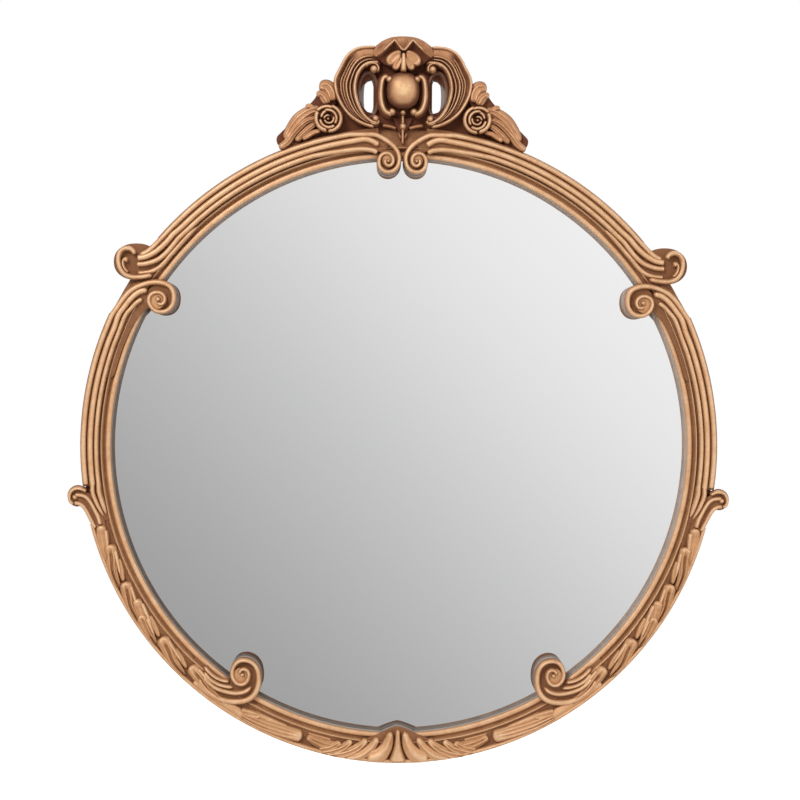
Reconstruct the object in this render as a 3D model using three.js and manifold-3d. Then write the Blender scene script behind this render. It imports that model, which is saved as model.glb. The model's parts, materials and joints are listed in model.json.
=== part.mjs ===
// A round wall mirror with a gently domed glass in a carved and gilded frame.
//
// Millimetres, +Z up, the front faces -Y and the wall is the plane y = 0. The origin is on the wall,
// halfway between the pivots of the two hanging rings. The carving is laid out on the frame's face:
// a place there is [x, z] from the frame's centre, a turn is in degrees from the top, clockwise as
// seen from the front, and a height is how far a surface stands off the wall.
import * as THREE from "three";
import { mergeVertices } from "three/addons/utils/BufferGeometryUtils.js";
import Module from "manifold-3d";

const wasm = await Module();
wasm.setup();

// ---- Driving dimensions -------------------------------------------------------------------------

const GAP = 0.3; // play between pieces that bear on each other
const SIGHT_RADIUS = 356.5; // the opening that shows the glass

// Turned ring
const RABBET_WIDTH = 9; // ledge behind the sight edge, which holds the glass
const LIP_WIDTH = 7.5;
const LIP_HEIGHT = 5; // of the rounded lip above the ring's face
const COVE_WIDTH = 7;
const REED_PITCH = 7.5;
const REED_COUNT = 3;
const RING_INSET = 2.5; // the reeds overhang the ring's side by this
const RING_THICKNESS = 20;
const RABBET_DEPTH = 13; // from the ring's back to the ledge

// Carving
const REED_HEIGHT = 14; // crowns above the ring's face
const REED_VALLEY = 7.5; // hollows between the reeds above the ring's face
const VOLUTE_FLOOR = 9.5;
const VOLUTE_CROWN = 16;
const VOLUTE_RIDGE = 4.4; // width of the ridge that winds in a volute
const LEAF_CROWN = 13;
const LEAF_FLOOR = 7;

// Glass and back
const GLASS_THICKNESS = 4;
const GLASS_RISE = 24; // how far the middle stands in front of the sight edge
const BOARD_THICKNESS = 5;
const SPACER_WIDTH = 12;

// Fittings on the back
const BUMPER_THICKNESS = 7;
const BUMPER_RADIUS = 10;
const BUMPER_TURNS = [-135, -16, 16, 135];
const SCREW_HEAD_RADIUS = 3.2;
const SCREW_HEAD_HEIGHT = 1.3;
const SCREW_SHANK_RADIUS = 1.6;
const SCREW_LENGTH = 11;
const BUTTON_THICKNESS = 2;
const BUTTON_REACH = 27; // from its screw to the tip over the board
const BUTTON_TAIL = 8;
const BUTTON_WIDTH = 13;
const BUTTON_TURNS = [-150, -90, -30, 30, 90, 150];
const HANGER_TURN = 60;
const STRAP_THICKNESS = 1.2;
const STRAP_WIDTH = 14;
const STRAP_LENGTH = 45;
const STRAP_SCREW_INSETS = [21, 7]; // above the strap's end
const WIRE_RADIUS = 1.5;
const KNUCKLE_WALL = 1.35;
const KNUCKLE_WIDTH = 12;
const LOOP_RADIUS = 11;
const LOOP_LEG = 5;
const MENDING_WIDTH = 60;
const MENDING_HEIGHT = 50;
const MENDING_THICKNESS = 1.5;
const MENDING_SCREW_X = 22;
const MENDING_SCREW_Z = 15; // above and below the joint that it bridges

// How finely curves are cut into flats
const RING_SEGMENTS = 48;
const ARC_STEP = 5;
const VOLUTE_STEP = 28;
const ROUND_SIDES = 10;
const WIRE_SIDES = 6;
const GLASS_STEPS = 4;
const SCREW_SIDES = 8;

// ---- Sizes that follow from them ----------------------------------------------------------------

const RING_BACK = BUMPER_THICKNESS;
const FACE = RING_BACK + RING_THICKNESS;
const FOOT = FACE + GAP; // the back of everything that is applied to the ring's face
const RABBET_RADIUS = SIGHT_RADIUS + RABBET_WIDTH;
const LEDGE = RING_BACK + RABBET_DEPTH;
const LIP_RADIUS = SIGHT_RADIUS + LIP_WIDTH;
const REED_INNER = LIP_RADIUS + COVE_WIDTH;
const CARVING_RADIUS = REED_INNER + REED_COUNT * REED_PITCH;
const RING_RADIUS = CARVING_RADIUS - RING_INSET;
const REED_CROWN = FACE + REED_HEIGHT;
const OUTER_REED = CARVING_RADIUS - REED_PITCH / 2;
const BACK_BAND_RADIUS = (RABBET_RADIUS + RING_RADIUS) / 2;
const PIVOT_HEIGHT = RING_BACK - GAP - WIRE_RADIUS - KNUCKLE_WALL - GAP;
const HANG_Z = BACK_BAND_RADIUS * Math.cos(THREE.MathUtils.degToRad(HANGER_TURN));

// ---- Places and paths on the frame's face -------------------------------------------------------

const { degToRad: rad, lerp } = THREE.MathUtils;
const spot = (x, z) => new THREE.Vector2(x, z);
const onFrame = (radius, turn) => spot(radius * Math.sin(rad(turn)), radius * Math.cos(rad(turn)));
const evenly = (steps, place) => Array.from({ length: steps + 1 }, (_, i) => place(i / steps));
const CREST_BASE = CARVING_RADIUS - 4.5; // where the crest's own places are measured from
const above = (x, z) => spot(x, CREST_BASE + z);

function arc(radius, fromTurn, toTurn) {
  const steps = Math.max(2, Math.round(Math.abs(toTurn - fromTurn) / ARC_STEP));
  return evenly(steps, (t) => onFrame(radius, lerp(fromTurn, toTurn, t)));
}

// A smooth run from one place to another that leaves and arrives on given headings, in degrees
// with 0 to the right and 90 upwards.
function bend(start, leaving, end, arriving, pull, steps = 6) {
  const lead = spot(Math.cos(rad(leaving)), Math.sin(rad(leaving))).multiplyScalar(pull);
  const tail = spot(Math.cos(rad(arriving)), Math.sin(rad(arriving))).multiplyScalar(pull);
  return new THREE.CubicBezierCurve(start, start.clone().add(lead), end.clone().sub(tail), end).getPoints(steps);
}

// A spiral that closes in on its eye, faster towards the end.
const CLOSING_IN = 1.3;
function volute(eye, startAngle, sweep, startRadius, endRadius) {
  return evenly(Math.ceil(Math.abs(sweep) / VOLUTE_STEP), (t) => {
    const angle = rad(startAngle + sweep * t);
    const radius = lerp(startRadius, endRadius, t ** CLOSING_IN);
    return spot(eye.x + radius * Math.cos(angle), eye.y + radius * Math.sin(angle));
  });
}

const joined = (...paths) => paths.flatMap((path, i) => (i ? path.slice(1) : path));

// ---- Solids -------------------------------------------------------------------------------------

const point = (place, height) => [place.x, -height, place.y];

// A closed surface whose faces point out, whichever way round its points were given.
function facingOut(geometry) {
  const { index, attributes } = geometry;
  const corner = (i) => new THREE.Vector3().fromBufferAttribute(attributes.position, index.getX(i));
  let volume = 0;
  for (let i = 0; i < index.count; i += 3) volume += corner(i).dot(corner(i + 1).cross(corner(i + 2)));
  if (volume > 0) return geometry;
  return geometry.setIndex(Array.from(index.array).reverse());
}

// The flat face inside a ring of points, as triangles that run the same way round as the ring.
function flatEnd(ring) {
  const corners = ring.map((place) => new THREE.Vector3(...place));
  const normal = new THREE.Vector3();
  corners.forEach((corner, i) => normal.add(corner.clone().cross(corners[(i + 1) % corners.length])));
  const across = corners[1].clone().sub(corners[0]).normalize();
  const up = normal.normalize().clone().cross(across);
  return THREE.ShapeUtils.triangulateShape(corners.map((corner) => spot(corner.dot(across), corner.dot(up))), []);
}

// Rings of as many points each, one after the other, closed by flat ends or into a loop.
function loft(rings, looped = false) {
  const sides = rings[0].length;
  const index = [];
  const spans = looped ? rings.length : rings.length - 1;
  for (let i = 0; i < spans; i++)
    for (let j = 0; j < sides; j++) {
      const next = (i + 1) % rings.length;
      const [a, b] = [i * sides + j, i * sides + ((j + 1) % sides)];
      const [c, d] = [next * sides + j, next * sides + ((j + 1) % sides)];
      index.push(a, b, d, a, d, c);
    }
  const last = (rings.length - 1) * sides;
  if (!looped) {
    for (const [a, b, c] of flatEnd(rings[0])) index.push(a, c, b);
    for (const corners of flatEnd(rings[rings.length - 1])) index.push(...corners.map((corner) => last + corner));
  }
  const geometry = new THREE.BufferGeometry();
  geometry.setAttribute("position", new THREE.Float32BufferAttribute(rings.flat(2), 3));
  return facingOut(geometry.setIndex(index));
}

// The place to the left and right of each point of a path, as far out as asked.
function sideways(path, i, out) {
  const ahead = path[Math.min(i + 1, path.length - 1)];
  const behind = path[Math.max(i - 1, 0)];
  const along = ahead.clone().sub(behind).normalize();
  return spot(path[i].x + along.y * out, path[i].y - along.x * out);
}

// A section [[out, height]...] carried along a path. The shape of it may change with t, 0 to 1.
const carried = (path, section) =>
  loft(path.map((_, i) => section(i / (path.length - 1)).map(([out, h]) => point(sideways(path, i, out), h))));

// A rounded ridge, broad at its foot and full size except where swell(t) makes it smaller.
function ridge(path, { width, foot = FOOT, crown, shoulder = (foot + crown) / 2, swell = () => 1 }) {
  return carried(path, (t) => {
    const half = (width / 2) * swell(t);
    const top = lerp(shoulder, crown, swell(t));
    return [[-half, foot], [-half, shoulder], [-half * 0.45, top], [half * 0.45, top], [half, shoulder], [half, foot]];
  });
}

// A leaf is slim at the root, broad near the tip and rounded there, with a keel down its middle.
const leafSwell = (t) => Math.max(0.2, Math.sin(Math.PI * (0.12 + 0.8 * t ** 1.4)));
function leaf(path, width, crown = FACE + LEAF_CROWN, edge = FACE + LEAF_FLOOR) {
  return carried(path, (t) => {
    const half = (width / 2) * leafSwell(t);
    return [[-half, FOOT], [-half, edge], [0, lerp(edge, crown, leafSwell(t))], [half, edge], [half, FOOT]];
  });
}
const taper = (t) => Math.max(0.2, Math.min(1, (1 - t) * 4));

// An outline on the frame's face, as thick as from one height to the other.
function plate(outline, from, to, holes = []) {
  const shape = new THREE.Shape(outline);
  shape.holes = holes.map((hole) => new THREE.Path(hole));
  const options = { depth: to - from, bevelEnabled: false };
  return new THREE.ExtrudeGeometry(shape, options).translate(0, 0, from).rotateX(Math.PI / 2);
}

// A profile [[radius, height]...], closed or with both ends on the axis, turned about the frame's centre.
const turned = (profile, segments = RING_SEGMENTS) =>
  facingOut(new THREE.LatheGeometry(profile.map(([radius, height]) => spot(radius, -height)), segments));

const moved = (geometry, place) => geometry.translate(place.x, 0, place.y);

const disc = (place, radius, from, to, sides = ROUND_SIDES) =>
  moved(new THREE.CylinderGeometry(radius, radius, to - from, sides).translate(0, -(from + to) / 2, 0), place);

// A rounded bead or dome on the frame's face.
function dome(place, radius, from, to, sides = ROUND_SIDES) {
  const profile = [[0, from], [radius, from], [radius, lerp(from, to, 0.45)], [radius * 0.75, lerp(from, to, 0.82)]];
  return moved(turned([...profile, [radius * 0.35, to - (to - from) * 0.03], [0, to]], sides), place);
}

function solid(geometry) {
  geometry.deleteAttribute("normal");
  geometry.deleteAttribute("uv");
  const merged = mergeVertices(geometry, 1e-4);
  const vertProperties = merged.attributes.position.array;
  return new wasm.Manifold(new wasm.Mesh({ numProp: 3, vertProperties, triVerts: new Uint32Array(merged.index.array) }));
}

const fused = (...pieces) => pieces.map(solid).reduce((whole, piece) => whole.add(piece));

function shaped(manifold) {
  const { vertProperties, triVerts } = manifold.getMesh();
  const geometry = new THREE.BufferGeometry();
  geometry.setAttribute("position", new THREE.BufferAttribute(vertProperties, 3));
  return geometry.setIndex(new THREE.BufferAttribute(triVerts, 1));
}

// ---- The scene ----------------------------------------------------------------------------------

const finish = (color, roughness, metalness) => new THREE.MeshStandardMaterial({ color, roughness, metalness });
const FINISHES = {
  gilding: () => finish(0xc08a54, 0.38, 0.75),
  darkGround: () => finish(0x6a3a1c, 0.55, 0.4),
  glass: () => finish(0xd8dadc, 0.04, 1),
  board: () => finish(0x8d6f4c, 0.85, 0),
  foam: () => finish(0x2b2b2b, 0.95, 0),
  brass: () => finish(0xb5934d, 0.35, 1),
  steel: () => finish(0xa7a9ab, 0.4, 1),
  felt: () => finish(0x3a2b22, 1, 0),
};

const mirror = new THREE.Group();
const face = new THREE.Group(); // everything that is laid out from the frame's centre
face.position.z = -HANG_Z;
mirror.add(face);

function add(name, geometry, material, parent = face) {
  const mesh = new THREE.Mesh(geometry, material());
  mesh.name = name;
  parent.add(mesh);
  return mesh;
}

// The right-hand piece, and its mirror image on the left.
function addPair(name, geometry, material) {
  add(`${name}_right`, geometry, material);
  add(`${name}_left`, geometry.clone(), material).scale.x = -1;
}

// ---- Ring, glass and back -----------------------------------------------------------------------

const lipTop = FACE + LIP_HEIGHT;
const ringSection = (grow) => [
  [RABBET_RADIUS, RING_BACK],
  [RABBET_RADIUS, LEDGE],
  [SIGHT_RADIUS - grow, LEDGE],
  [SIGHT_RADIUS - grow, lipTop - LIP_HEIGHT * 0.5],
  [SIGHT_RADIUS - grow + LIP_WIDTH * 0.18, lipTop - LIP_HEIGHT * 0.1 + grow],
  [SIGHT_RADIUS + LIP_WIDTH / 2, lipTop + grow],
  [LIP_RADIUS + grow - LIP_WIDTH * 0.18, lipTop - LIP_HEIGHT * 0.15 + grow],
  [LIP_RADIUS + grow, FACE + LIP_HEIGHT * 0.35],
  [REED_INNER, FACE],
  [RING_RADIUS, FACE],
  [RING_RADIUS, RING_BACK],
  [RABBET_RADIUS, RING_BACK],
];
const lipRoom = solid(turned(ringSection(GAP)));
const scribed = (...pieces) => shaped(fused(...pieces).subtract(lipRoom)); // carving fitted over the lip

const domeRadius = (SIGHT_RADIUS ** 2 + GLASS_RISE ** 2) / (2 * GLASS_RISE);
const glassRadius = RABBET_RADIUS - GAP;
const sightHeight = LEDGE - GAP;
const glassFront = (radius) => sightHeight + GLASS_RISE - domeRadius + Math.sqrt(domeRadius ** 2 - radius ** 2);
const glassBack = (radius) => glassFront(radius) - GLASS_THICKNESS;
const glassSteps = evenly(GLASS_STEPS, (t) => glassRadius * t);
add(
  "mirror_glass",
  turned([...glassSteps.map((r) => [r, glassBack(r)]), ...glassSteps.map((r) => [r, glassFront(r)]).reverse()]),
  FINISHES.glass,
);

const boardFront = RING_BACK + BOARD_THICKNESS;
const spacerInner = glassRadius - SPACER_WIDTH;
add(
  "glass_spacer",
  turned([
    [spacerInner, boardFront + GAP],
    [spacerInner, glassBack(spacerInner) - GAP],
    [glassRadius, glassBack(glassRadius) - GAP],
    [glassRadius, boardFront + GAP],
    [spacerInner, boardFront + GAP],
  ]),
  FINISHES.foam,
);
add("backing_board", disc(spot(0, 0), glassRadius, RING_BACK, boardFront, RING_SEGMENTS), FINISHES.board);

// ---- Screws and what they hold ------------------------------------------------------------------

const pilotHoles = []; // where a screw enters the ring or the crest's back plate
const shaftHole = (place) => disc(place, SCREW_SHANK_RADIUS + GAP, RING_BACK - 1, RING_BACK + SCREW_LENGTH + GAP, 8);

// A pan-head screw, driven from the back through whatever lies under its head.
function screw(name, place, underHead, material, parent = face) {
  const head = underHead - GAP;
  const profile = [
    [0, head - SCREW_HEAD_HEIGHT],
    [SCREW_HEAD_RADIUS * 0.8, head - SCREW_HEAD_HEIGHT],
    [SCREW_HEAD_RADIUS, head],
    [SCREW_SHANK_RADIUS, head],
    [SCREW_SHANK_RADIUS, RING_BACK + SCREW_LENGTH - SCREW_SHANK_RADIUS],
    [0, RING_BACK + SCREW_LENGTH],
  ];
  add(name, moved(turned(profile, SCREW_SIDES), place), material, parent);
}

const underButton = RING_BACK - GAP - BUTTON_THICKNESS;
BUTTON_TURNS.forEach((turn, i) => {
  const pivot = onFrame(BACK_BAND_RADIUS, turn);
  const spin = new THREE.Group();
  spin.position.set(pivot.x, 0, pivot.y);
  spin.rotation.y = rad(turn);
  face.add(spin);
  const half = BUTTON_WIDTH / 2;
  const roundEnd = (z, from) =>
    evenly(6, (t) => spot(half * Math.cos(rad(from + 180 * t)), z + half * Math.sin(rad(from + 180 * t))));
  const outline = [...roundEnd(BUTTON_TAIL - half, 0), ...roundEnd(half - BUTTON_REACH, 180)];
  const bore = disc(spot(0, 0), SCREW_SHANK_RADIUS + GAP, 0, RING_BACK, ROUND_SIDES);
  const button = fused(plate(outline, underButton, RING_BACK - GAP)).subtract(solid(bore));
  add(`turn_button_${i + 1}`, shaped(button), FINISHES.brass, spin);
  screw(`button_screw_${i + 1}`, spot(0, 0), underButton, FINISHES.brass, spin);
  pilotHoles.push(shaftHole(pivot));
});

// Strap hangers lie along the ring, so they are made upright and turned into place.
const knuckleRadius = WIRE_RADIUS + GAP + KNUCKLE_WALL;
const loopEnd = LOOP_RADIUS + LOOP_LEG;
function strapHanger(side, sign) {
  const turn = sign * HANGER_TURN;
  const pivot = onFrame(BACK_BAND_RADIUS, turn);
  const lean = new THREE.Group();
  lean.position.set(pivot.x, 0, pivot.y);
  lean.rotation.y = rad(turn - sign * 90);
  face.add(lean);
  const half = STRAP_WIDTH / 2;
  const corner = half / 2;
  const outline = [
    spot(-half, 0),
    spot(-half, corner - STRAP_LENGTH),
    spot(corner - half, -STRAP_LENGTH),
    spot(half - corner, -STRAP_LENGTH),
    spot(half, corner - STRAP_LENGTH),
    spot(half, 0),
  ];
  const across = (radius, width) =>
    new THREE.CylinderGeometry(radius, radius, width, ROUND_SIDES).rotateZ(Math.PI / 2).translate(0, -PIVOT_HEIGHT, 0);
  let strap = fused(
    plate(outline, RING_BACK - GAP - STRAP_THICKNESS, RING_BACK - GAP),
    across(knuckleRadius, KNUCKLE_WIDTH),
  ).subtract(solid(across(WIRE_RADIUS + GAP, STRAP_WIDTH * 2)));
  STRAP_SCREW_INSETS.forEach((inset, i) => {
    const down = STRAP_LENGTH - inset;
    strap = strap.subtract(solid(disc(spot(0, -down), SCREW_SHANK_RADIUS + GAP, 0, RING_BACK)));
    screw(`hanger_screw_${side}_${i + 1}`, spot(0, -down), RING_BACK - GAP - STRAP_THICKNESS, FINISHES.brass, lean);
    const along = spot(-Math.cos(rad(turn)), Math.sin(rad(turn))).multiplyScalar(sign);
    pilotHoles.push(shaftHole(pivot.clone().addScaledVector(along, -down)));
  });
  add(`hanger_strap_${side}`, shaped(strap), FINISHES.brass, lean);

  // The D-shaped ring: a straight bar in the knuckle, two corners, two legs and a half circle.
  const cornerRadius = LOOP_LEG / 2;
  const round = (x, z, radius, from, sweep, steps) =>
    evenly(steps, (t) => spot(x + radius * Math.cos(rad(from + sweep * t)), z + radius * Math.sin(rad(from + sweep * t))));
  const wirePath = [
    ...round(cornerRadius - LOOP_RADIUS, -cornerRadius, cornerRadius, 180, -90, 2),
    ...round(LOOP_RADIUS - cornerRadius, -cornerRadius, cornerRadius, 90, -90, 2),
    ...round(0, -LOOP_LEG, LOOP_RADIUS, 0, -180, 8),
  ];
  const wire = wirePath.map((place, i) => {
    const ahead = wirePath[(i + 1) % wirePath.length];
    const behind = wirePath[(i + wirePath.length - 1) % wirePath.length];
    const along = ahead.clone().sub(behind).normalize();
    return evenly(WIRE_SIDES, (t) => {
      const out = WIRE_RADIUS * Math.cos(2 * Math.PI * t);
      return point(spot(place.x + along.y * out, place.y - along.x * out), PIVOT_HEIGHT + WIRE_RADIUS * Math.sin(2 * Math.PI * t));
    }).slice(1);
  });
  add(`hanger_ring_${side}`, loft(wire, true), FINISHES.brass, lean);
}
strapHanger("right", 1);
strapHanger("left", -1);

// A flat plate bridges the joint between the ring and the crest.
const crestJoint = spot(0, RING_RADIUS);
const mendingScrews = [-1, 1].flatMap((x) =>
  [-1, 1].map((z) => spot(x * MENDING_SCREW_X, crestJoint.y + z * MENDING_SCREW_Z)),
);
const halfWidth = MENDING_WIDTH / 2;
const mendingOutline = [
  spot(-halfWidth, crestJoint.y - MENDING_HEIGHT / 2),
  spot(halfWidth, crestJoint.y - MENDING_HEIGHT / 2),
  spot(halfWidth, crestJoint.y + MENDING_HEIGHT / 2),
  spot(-halfWidth, crestJoint.y + MENDING_HEIGHT / 2),
];
const mendingBack = RING_BACK - GAP - MENDING_THICKNESS;
let mendingPlate = fused(plate(mendingOutline, mendingBack, RING_BACK - GAP));
mendingScrews.forEach((place, i) => {
  mendingPlate = mendingPlate.subtract(solid(disc(place, SCREW_SHANK_RADIUS + GAP, 0, RING_BACK)));
  screw(`mending_screw_${i + 1}`, place, mendingBack, FINISHES.steel);
  pilotHoles.push(shaftHole(place));
});
add("mending_plate", shaped(mendingPlate), FINISHES.steel);

BUMPER_TURNS.forEach((turn, i) => {
  const bumper = disc(onFrame(BACK_BAND_RADIUS, turn), BUMPER_RADIUS, 0, RING_BACK - GAP, 16);
  add(`wall_bumper_${i + 1}`, bumper, FINISHES.felt);
});

const drilled = (whole) => pilotHoles.reduce((left, hole) => left.subtract(solid(hole.clone())), whole);
add("base_ring", shaped(drilled(solid(turned(ringSection(0))))), FINISHES.gilding);

// ---- Reeded mouldings and their volutes ---------------------------------------------------------

// Three reeds side by side, as one section measured outwards from the carving's inner edge.
const crownHeights = [FACE + REED_VALLEY, REED_CROWN - 1.2, REED_CROWN, REED_CROWN - 1.2];
const reedSection = [
  [0, FOOT],
  ...Array.from({ length: REED_COUNT }, (_, i) =>
    crownHeights.map((height, j) => [REED_PITCH * (i + [0, 0.28, 0.5, 0.72][j]), height]),
  ).flat(),
  [REED_COUNT * REED_PITCH, FACE + REED_VALLEY],
  [REED_COUNT * REED_PITCH, FOOT],
];
const reeding = (fromTurn, toTurn) => carried(arc(REED_INNER, toTurn, fromTurn), () => reedSection.map(([out, h]) => [out, h]));

const woundRidge = (path) => ridge(path, { width: VOLUTE_RIDGE, crown: FACE + VOLUTE_CROWN, foot: FACE + VOLUTE_FLOOR - 3 });
const floorUnder = (path) => plate(path, FOOT, FACE + VOLUTE_FLOOR);
const eyeBead = (eye, radius) => dome(eye, radius, FACE + VOLUTE_FLOOR - 1, FACE + VOLUTE_CROWN, 8);

// Upper arch: winds in beside the middle of the crest, and flares out in a hook at its lower end.
const ARCH_TOP_TURN = 6.5;
const ARCH_LOWER_TURN = 52;
const TOP_EYE_X = 23;
const TOP_EYE_DROP = 42; // below the carving's outer edge
const topEye = spot(TOP_EYE_X, CARVING_RADIUS - TOP_EYE_DROP);
const topStart = onFrame(OUTER_REED, ARCH_TOP_TURN);
const topWind = volute(topEye, 180, 480, 16.5, 5.5);
const topBend = bend(topStart, 180 - ARCH_TOP_TURN, topWind[0], -90, 21);
const topLead = arc(OUTER_REED, ARCH_TOP_TURN + 6, ARCH_TOP_TURN);

const HOOK_TURN = 55.4;
const HOOK_OUT = 11; // its centre beyond the carving's outer edge
const HOOK_RADIUS = 19.3;
const hookEye = onFrame(CARVING_RADIUS + HOOK_OUT, HOOK_TURN);
const hookWind = volute(hookEye, -95, 330, 19, 5);
const hookStart = onFrame(REED_INNER + REED_PITCH * 0.65, ARCH_LOWER_TURN - 6);
const hookBend = bend(hookStart, -ARCH_LOWER_TURN + 4, hookWind[0], -14, 20);
const middleHook = bend(onFrame(REED_INNER + REED_PITCH * 1.5, ARCH_LOWER_TURN - 5), -ARCH_LOWER_TURN, hookEye, -25, 14);
const hookFloor = [onFrame(CARVING_RADIUS, ARCH_LOWER_TURN - 3), ...hookBend, ...hookWind.slice(1, 11)];
addPair(
  "upper_arch",
  scribed(
    reeding(ARCH_TOP_TURN, ARCH_LOWER_TURN),
    woundRidge(joined(topLead, topBend, topWind)),
    floorUnder([...topBend, ...topWind.slice(1, 11)]),
    eyeBead(topEye, 3.4),
    woundRidge(joined(hookBend, hookWind)),
    ridge(middleHook, { width: VOLUTE_RIDGE, crown: REED_CROWN, swell: taper }),
    floorUnder(hookFloor),
    dome(hookEye, HOOK_RADIUS, FOOT, FACE + VOLUTE_FLOOR, 14),
  ),
  FINISHES.gilding,
);

// Side scroll: the same reeds, winding in over the glass at the top and running down to the ears.
const SIDE_TOP_TURN = 61.5;
const SIDE_LOWER_TURN = 97.4;
const SIDE_EYE_TURN = 58;
const SIDE_EYE_INSET = 46.5; // inside the carving's outer edge
const sideEye = onFrame(CARVING_RADIUS - SIDE_EYE_INSET, SIDE_EYE_TURN);
const sideWind = volute(sideEye, 90, 500, 16.8, 5.2);
const sideStart = onFrame(OUTER_REED, SIDE_TOP_TURN);
const sideBend = bend(sideStart, 180 - SIDE_TOP_TURN, sideWind[0], 180, 19);
addPair(
  "side_scroll",
  scribed(
    reeding(SIDE_TOP_TURN, SIDE_LOWER_TURN),
    woundRidge(joined(arc(OUTER_REED, SIDE_TOP_TURN + 6, SIDE_TOP_TURN), sideBend, sideWind)),
    floorUnder([...sideBend, ...sideWind.slice(1, 12)]),
    eyeBead(sideEye, 3.2),
  ),
  FINISHES.gilding,
);

// Ear scroll: a small hook that springs from the band and curls down outside it.
const EAR_TURN = 99.3;
const EAR_OUT = 9.2;
const EAR_RADIUS = 11.3;
const earEye = onFrame(CARVING_RADIUS + EAR_OUT, EAR_TURN);
const earWind = volute(earEye, 100, -300, 8, 3);
const earStem = bend(onFrame(CARVING_RADIUS - 12.5, 104.2), 78, earWind[0], 8, 14, 7);
addPair(
  "ear_scroll",
  scribed(
    ridge(earStem, { width: 8, crown: REED_CROWN }),
    ridge(joined(earStem.slice(4), earWind), { width: VOLUTE_RIDGE, crown: FACE + VOLUTE_CROWN, foot: FOOT }),
    dome(earEye, EAR_RADIUS, FOOT, FACE + VOLUTE_FLOOR, ROUND_SIDES),
  ),
  FINISHES.gilding,
);

// ---- Leaf swags, lower volutes and the palmette -------------------------------------------------

// A leaf that lies along the band: its tip and its root are a turn and a distance inside the edge.
const LEAF_STEPS = 5;
function bandLeaf([tipTurn, tipInset], [rootTurn, rootInset], width, crown) {
  const path = evenly(LEAF_STEPS, (t) => {
    const inset = lerp(rootInset, tipInset, t ** 1.6);
    return onFrame(CARVING_RADIUS - inset, lerp(rootTurn, tipTurn, t));
  });
  return leaf(path, width, crown);
}
const bandFloor = (fromTurn, toTurn) =>
  carried(arc(REED_INNER, toTurn, fromTurn), () => [
    [0, FOOT],
    [0, FACE + LEAF_FLOOR * 0.6],
    [REED_COUNT * REED_PITCH, FACE + LEAF_FLOOR],
    [REED_COUNT * REED_PITCH, FOOT],
  ]);

const SWAG_FROM = 104.6;
const SWAG_TO = 136;
const swagLeaves = [
  { tip: [105, 15], root: [113.5, 3.5], width: 9 },
  { tip: [109, 15.5], root: [120, 3.2], width: 8 },
  { tip: [110.8, 20.5], root: [119, 9], width: 4.5 },
  { tip: [116.8, 14], root: [130, 3.4], width: 17 },
  { tip: [119.6, 20], root: [127.5, 8], width: 5 },
  { tip: [121.6, 21.5], root: [130, 10], width: 5 },
  { tip: [126.8, 13], root: [136, 3.6], width: 16 },
  { tip: [129.6, 20], root: [135.8, 9], width: 5.5 },
];
const carvedLeaves = (leaves) => leaves.map(({ tip, root, width }) => bandLeaf(tip, root, width));
addPair("leaf_swag", scribed(bandFloor(SWAG_FROM, SWAG_TO), ...carvedLeaves(swagLeaves)), FINISHES.gilding);

const LOWER_FROM = SWAG_TO + 0.3;
const LOWER_TO = 150;
const LOWER_EYE_TURN = 145.4;
const LOWER_EYE_INSET = 50.5;
const lowerEye = onFrame(CARVING_RADIUS - LOWER_EYE_INSET, LOWER_EYE_TURN);
const lowerWind = volute(lowerEye, 180, -450, 20.3, 5.6);
const lowerUnder = spot(lowerEye.x + 3, lowerEye.y - 31);
const lowerStart = onFrame(CARVING_RADIUS - 20, LOWER_FROM + 1.2);
const lowerSweep = joined(
  bend(lowerStart, -110, lowerUnder, 180, 28),
  bend(lowerUnder, 180, lowerWind[0], 90, 16),
);
const innerReed = bend(onFrame(CARVING_RADIUS - 18, 138.9), -128, spot(lowerEye.x - 8, lowerEye.y - 17), 158, 22);
addPair(
  "bottom_volute",
  scribed(
    bandFloor(LOWER_FROM, LOWER_TO),
    floorUnder([...lowerSweep, ...lowerWind.slice(1, 10)]),
    woundRidge(joined(lowerSweep, lowerWind)),
    ridge(innerReed, { width: VOLUTE_RIDGE, crown: REED_CROWN, swell: taper }),
    eyeBead(lowerEye, 3.4),
    bandLeaf([LOWER_FROM + 0.6, 8], [LOWER_TO - 0.5, 5], 13),
  ),
  FINISHES.gilding,
);

const RAIL_TO = 167;
const railLeaves = [
  { tip: [154.4, 14.5], root: [150.8, 9], width: 6 },
  { tip: [157, 12], root: [150.8, 5], width: 8 },
  { tip: [161.8, 9], root: [150.8, 4], width: 15 },
  { tip: [159.6, 17.5], root: [154, 15], width: 6 },
  { tip: [166.5, 12], root: [158, 8], width: 17 },
];
addPair("bottom_rail", scribed(bandFloor(LOWER_TO + 0.3, RAIL_TO), ...carvedLeaves(railLeaves)), FINISHES.gilding);

const PALMETTE_ROOT = spot(0, -CARVING_RADIUS + 5);
const palmetteTips = [
  { x: 0, up: 39, width: 11, pull: 12 },
  { x: 18, up: 29, width: 9, pull: 14 },
  { x: 33, up: 22, width: 9, pull: 16 },
  { x: 52, up: 17, width: 10, pull: 20 },
  { x: 74, up: 12, width: 11, pull: 26 },
];
const palmetteLobe = ({ x, up, width, pull }, side) => {
  const tip = spot(side * x, -CARVING_RADIUS + up);
  const leaving = 90 - side * Math.min(80, x * 2.4);
  return leaf(bend(PALMETTE_ROOT, leaving, tip, 90 - side * Math.min(60, x), pull, LEAF_STEPS), width);
};
add(
  "base_leaf",
  scribed(
    bandFloor(RAIL_TO + 0.3, 360 - RAIL_TO - 0.3),
    palmetteLobe(palmetteTips[0], 1),
    ...palmetteTips.slice(1).flatMap((tip) => [palmetteLobe(tip, 1), palmetteLobe(tip, -1)]),
  ),
  FINISHES.gilding,
);

// ---- Crest --------------------------------------------------------------------------------------

const ellipse = (centre, across, up, from, to, steps) =>
  evenly(steps, (t) => {
    const angle = rad(lerp(from, to, t));
    return spot(centre.x + across * Math.cos(angle), centre.y + up * Math.sin(angle));
  });

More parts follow.
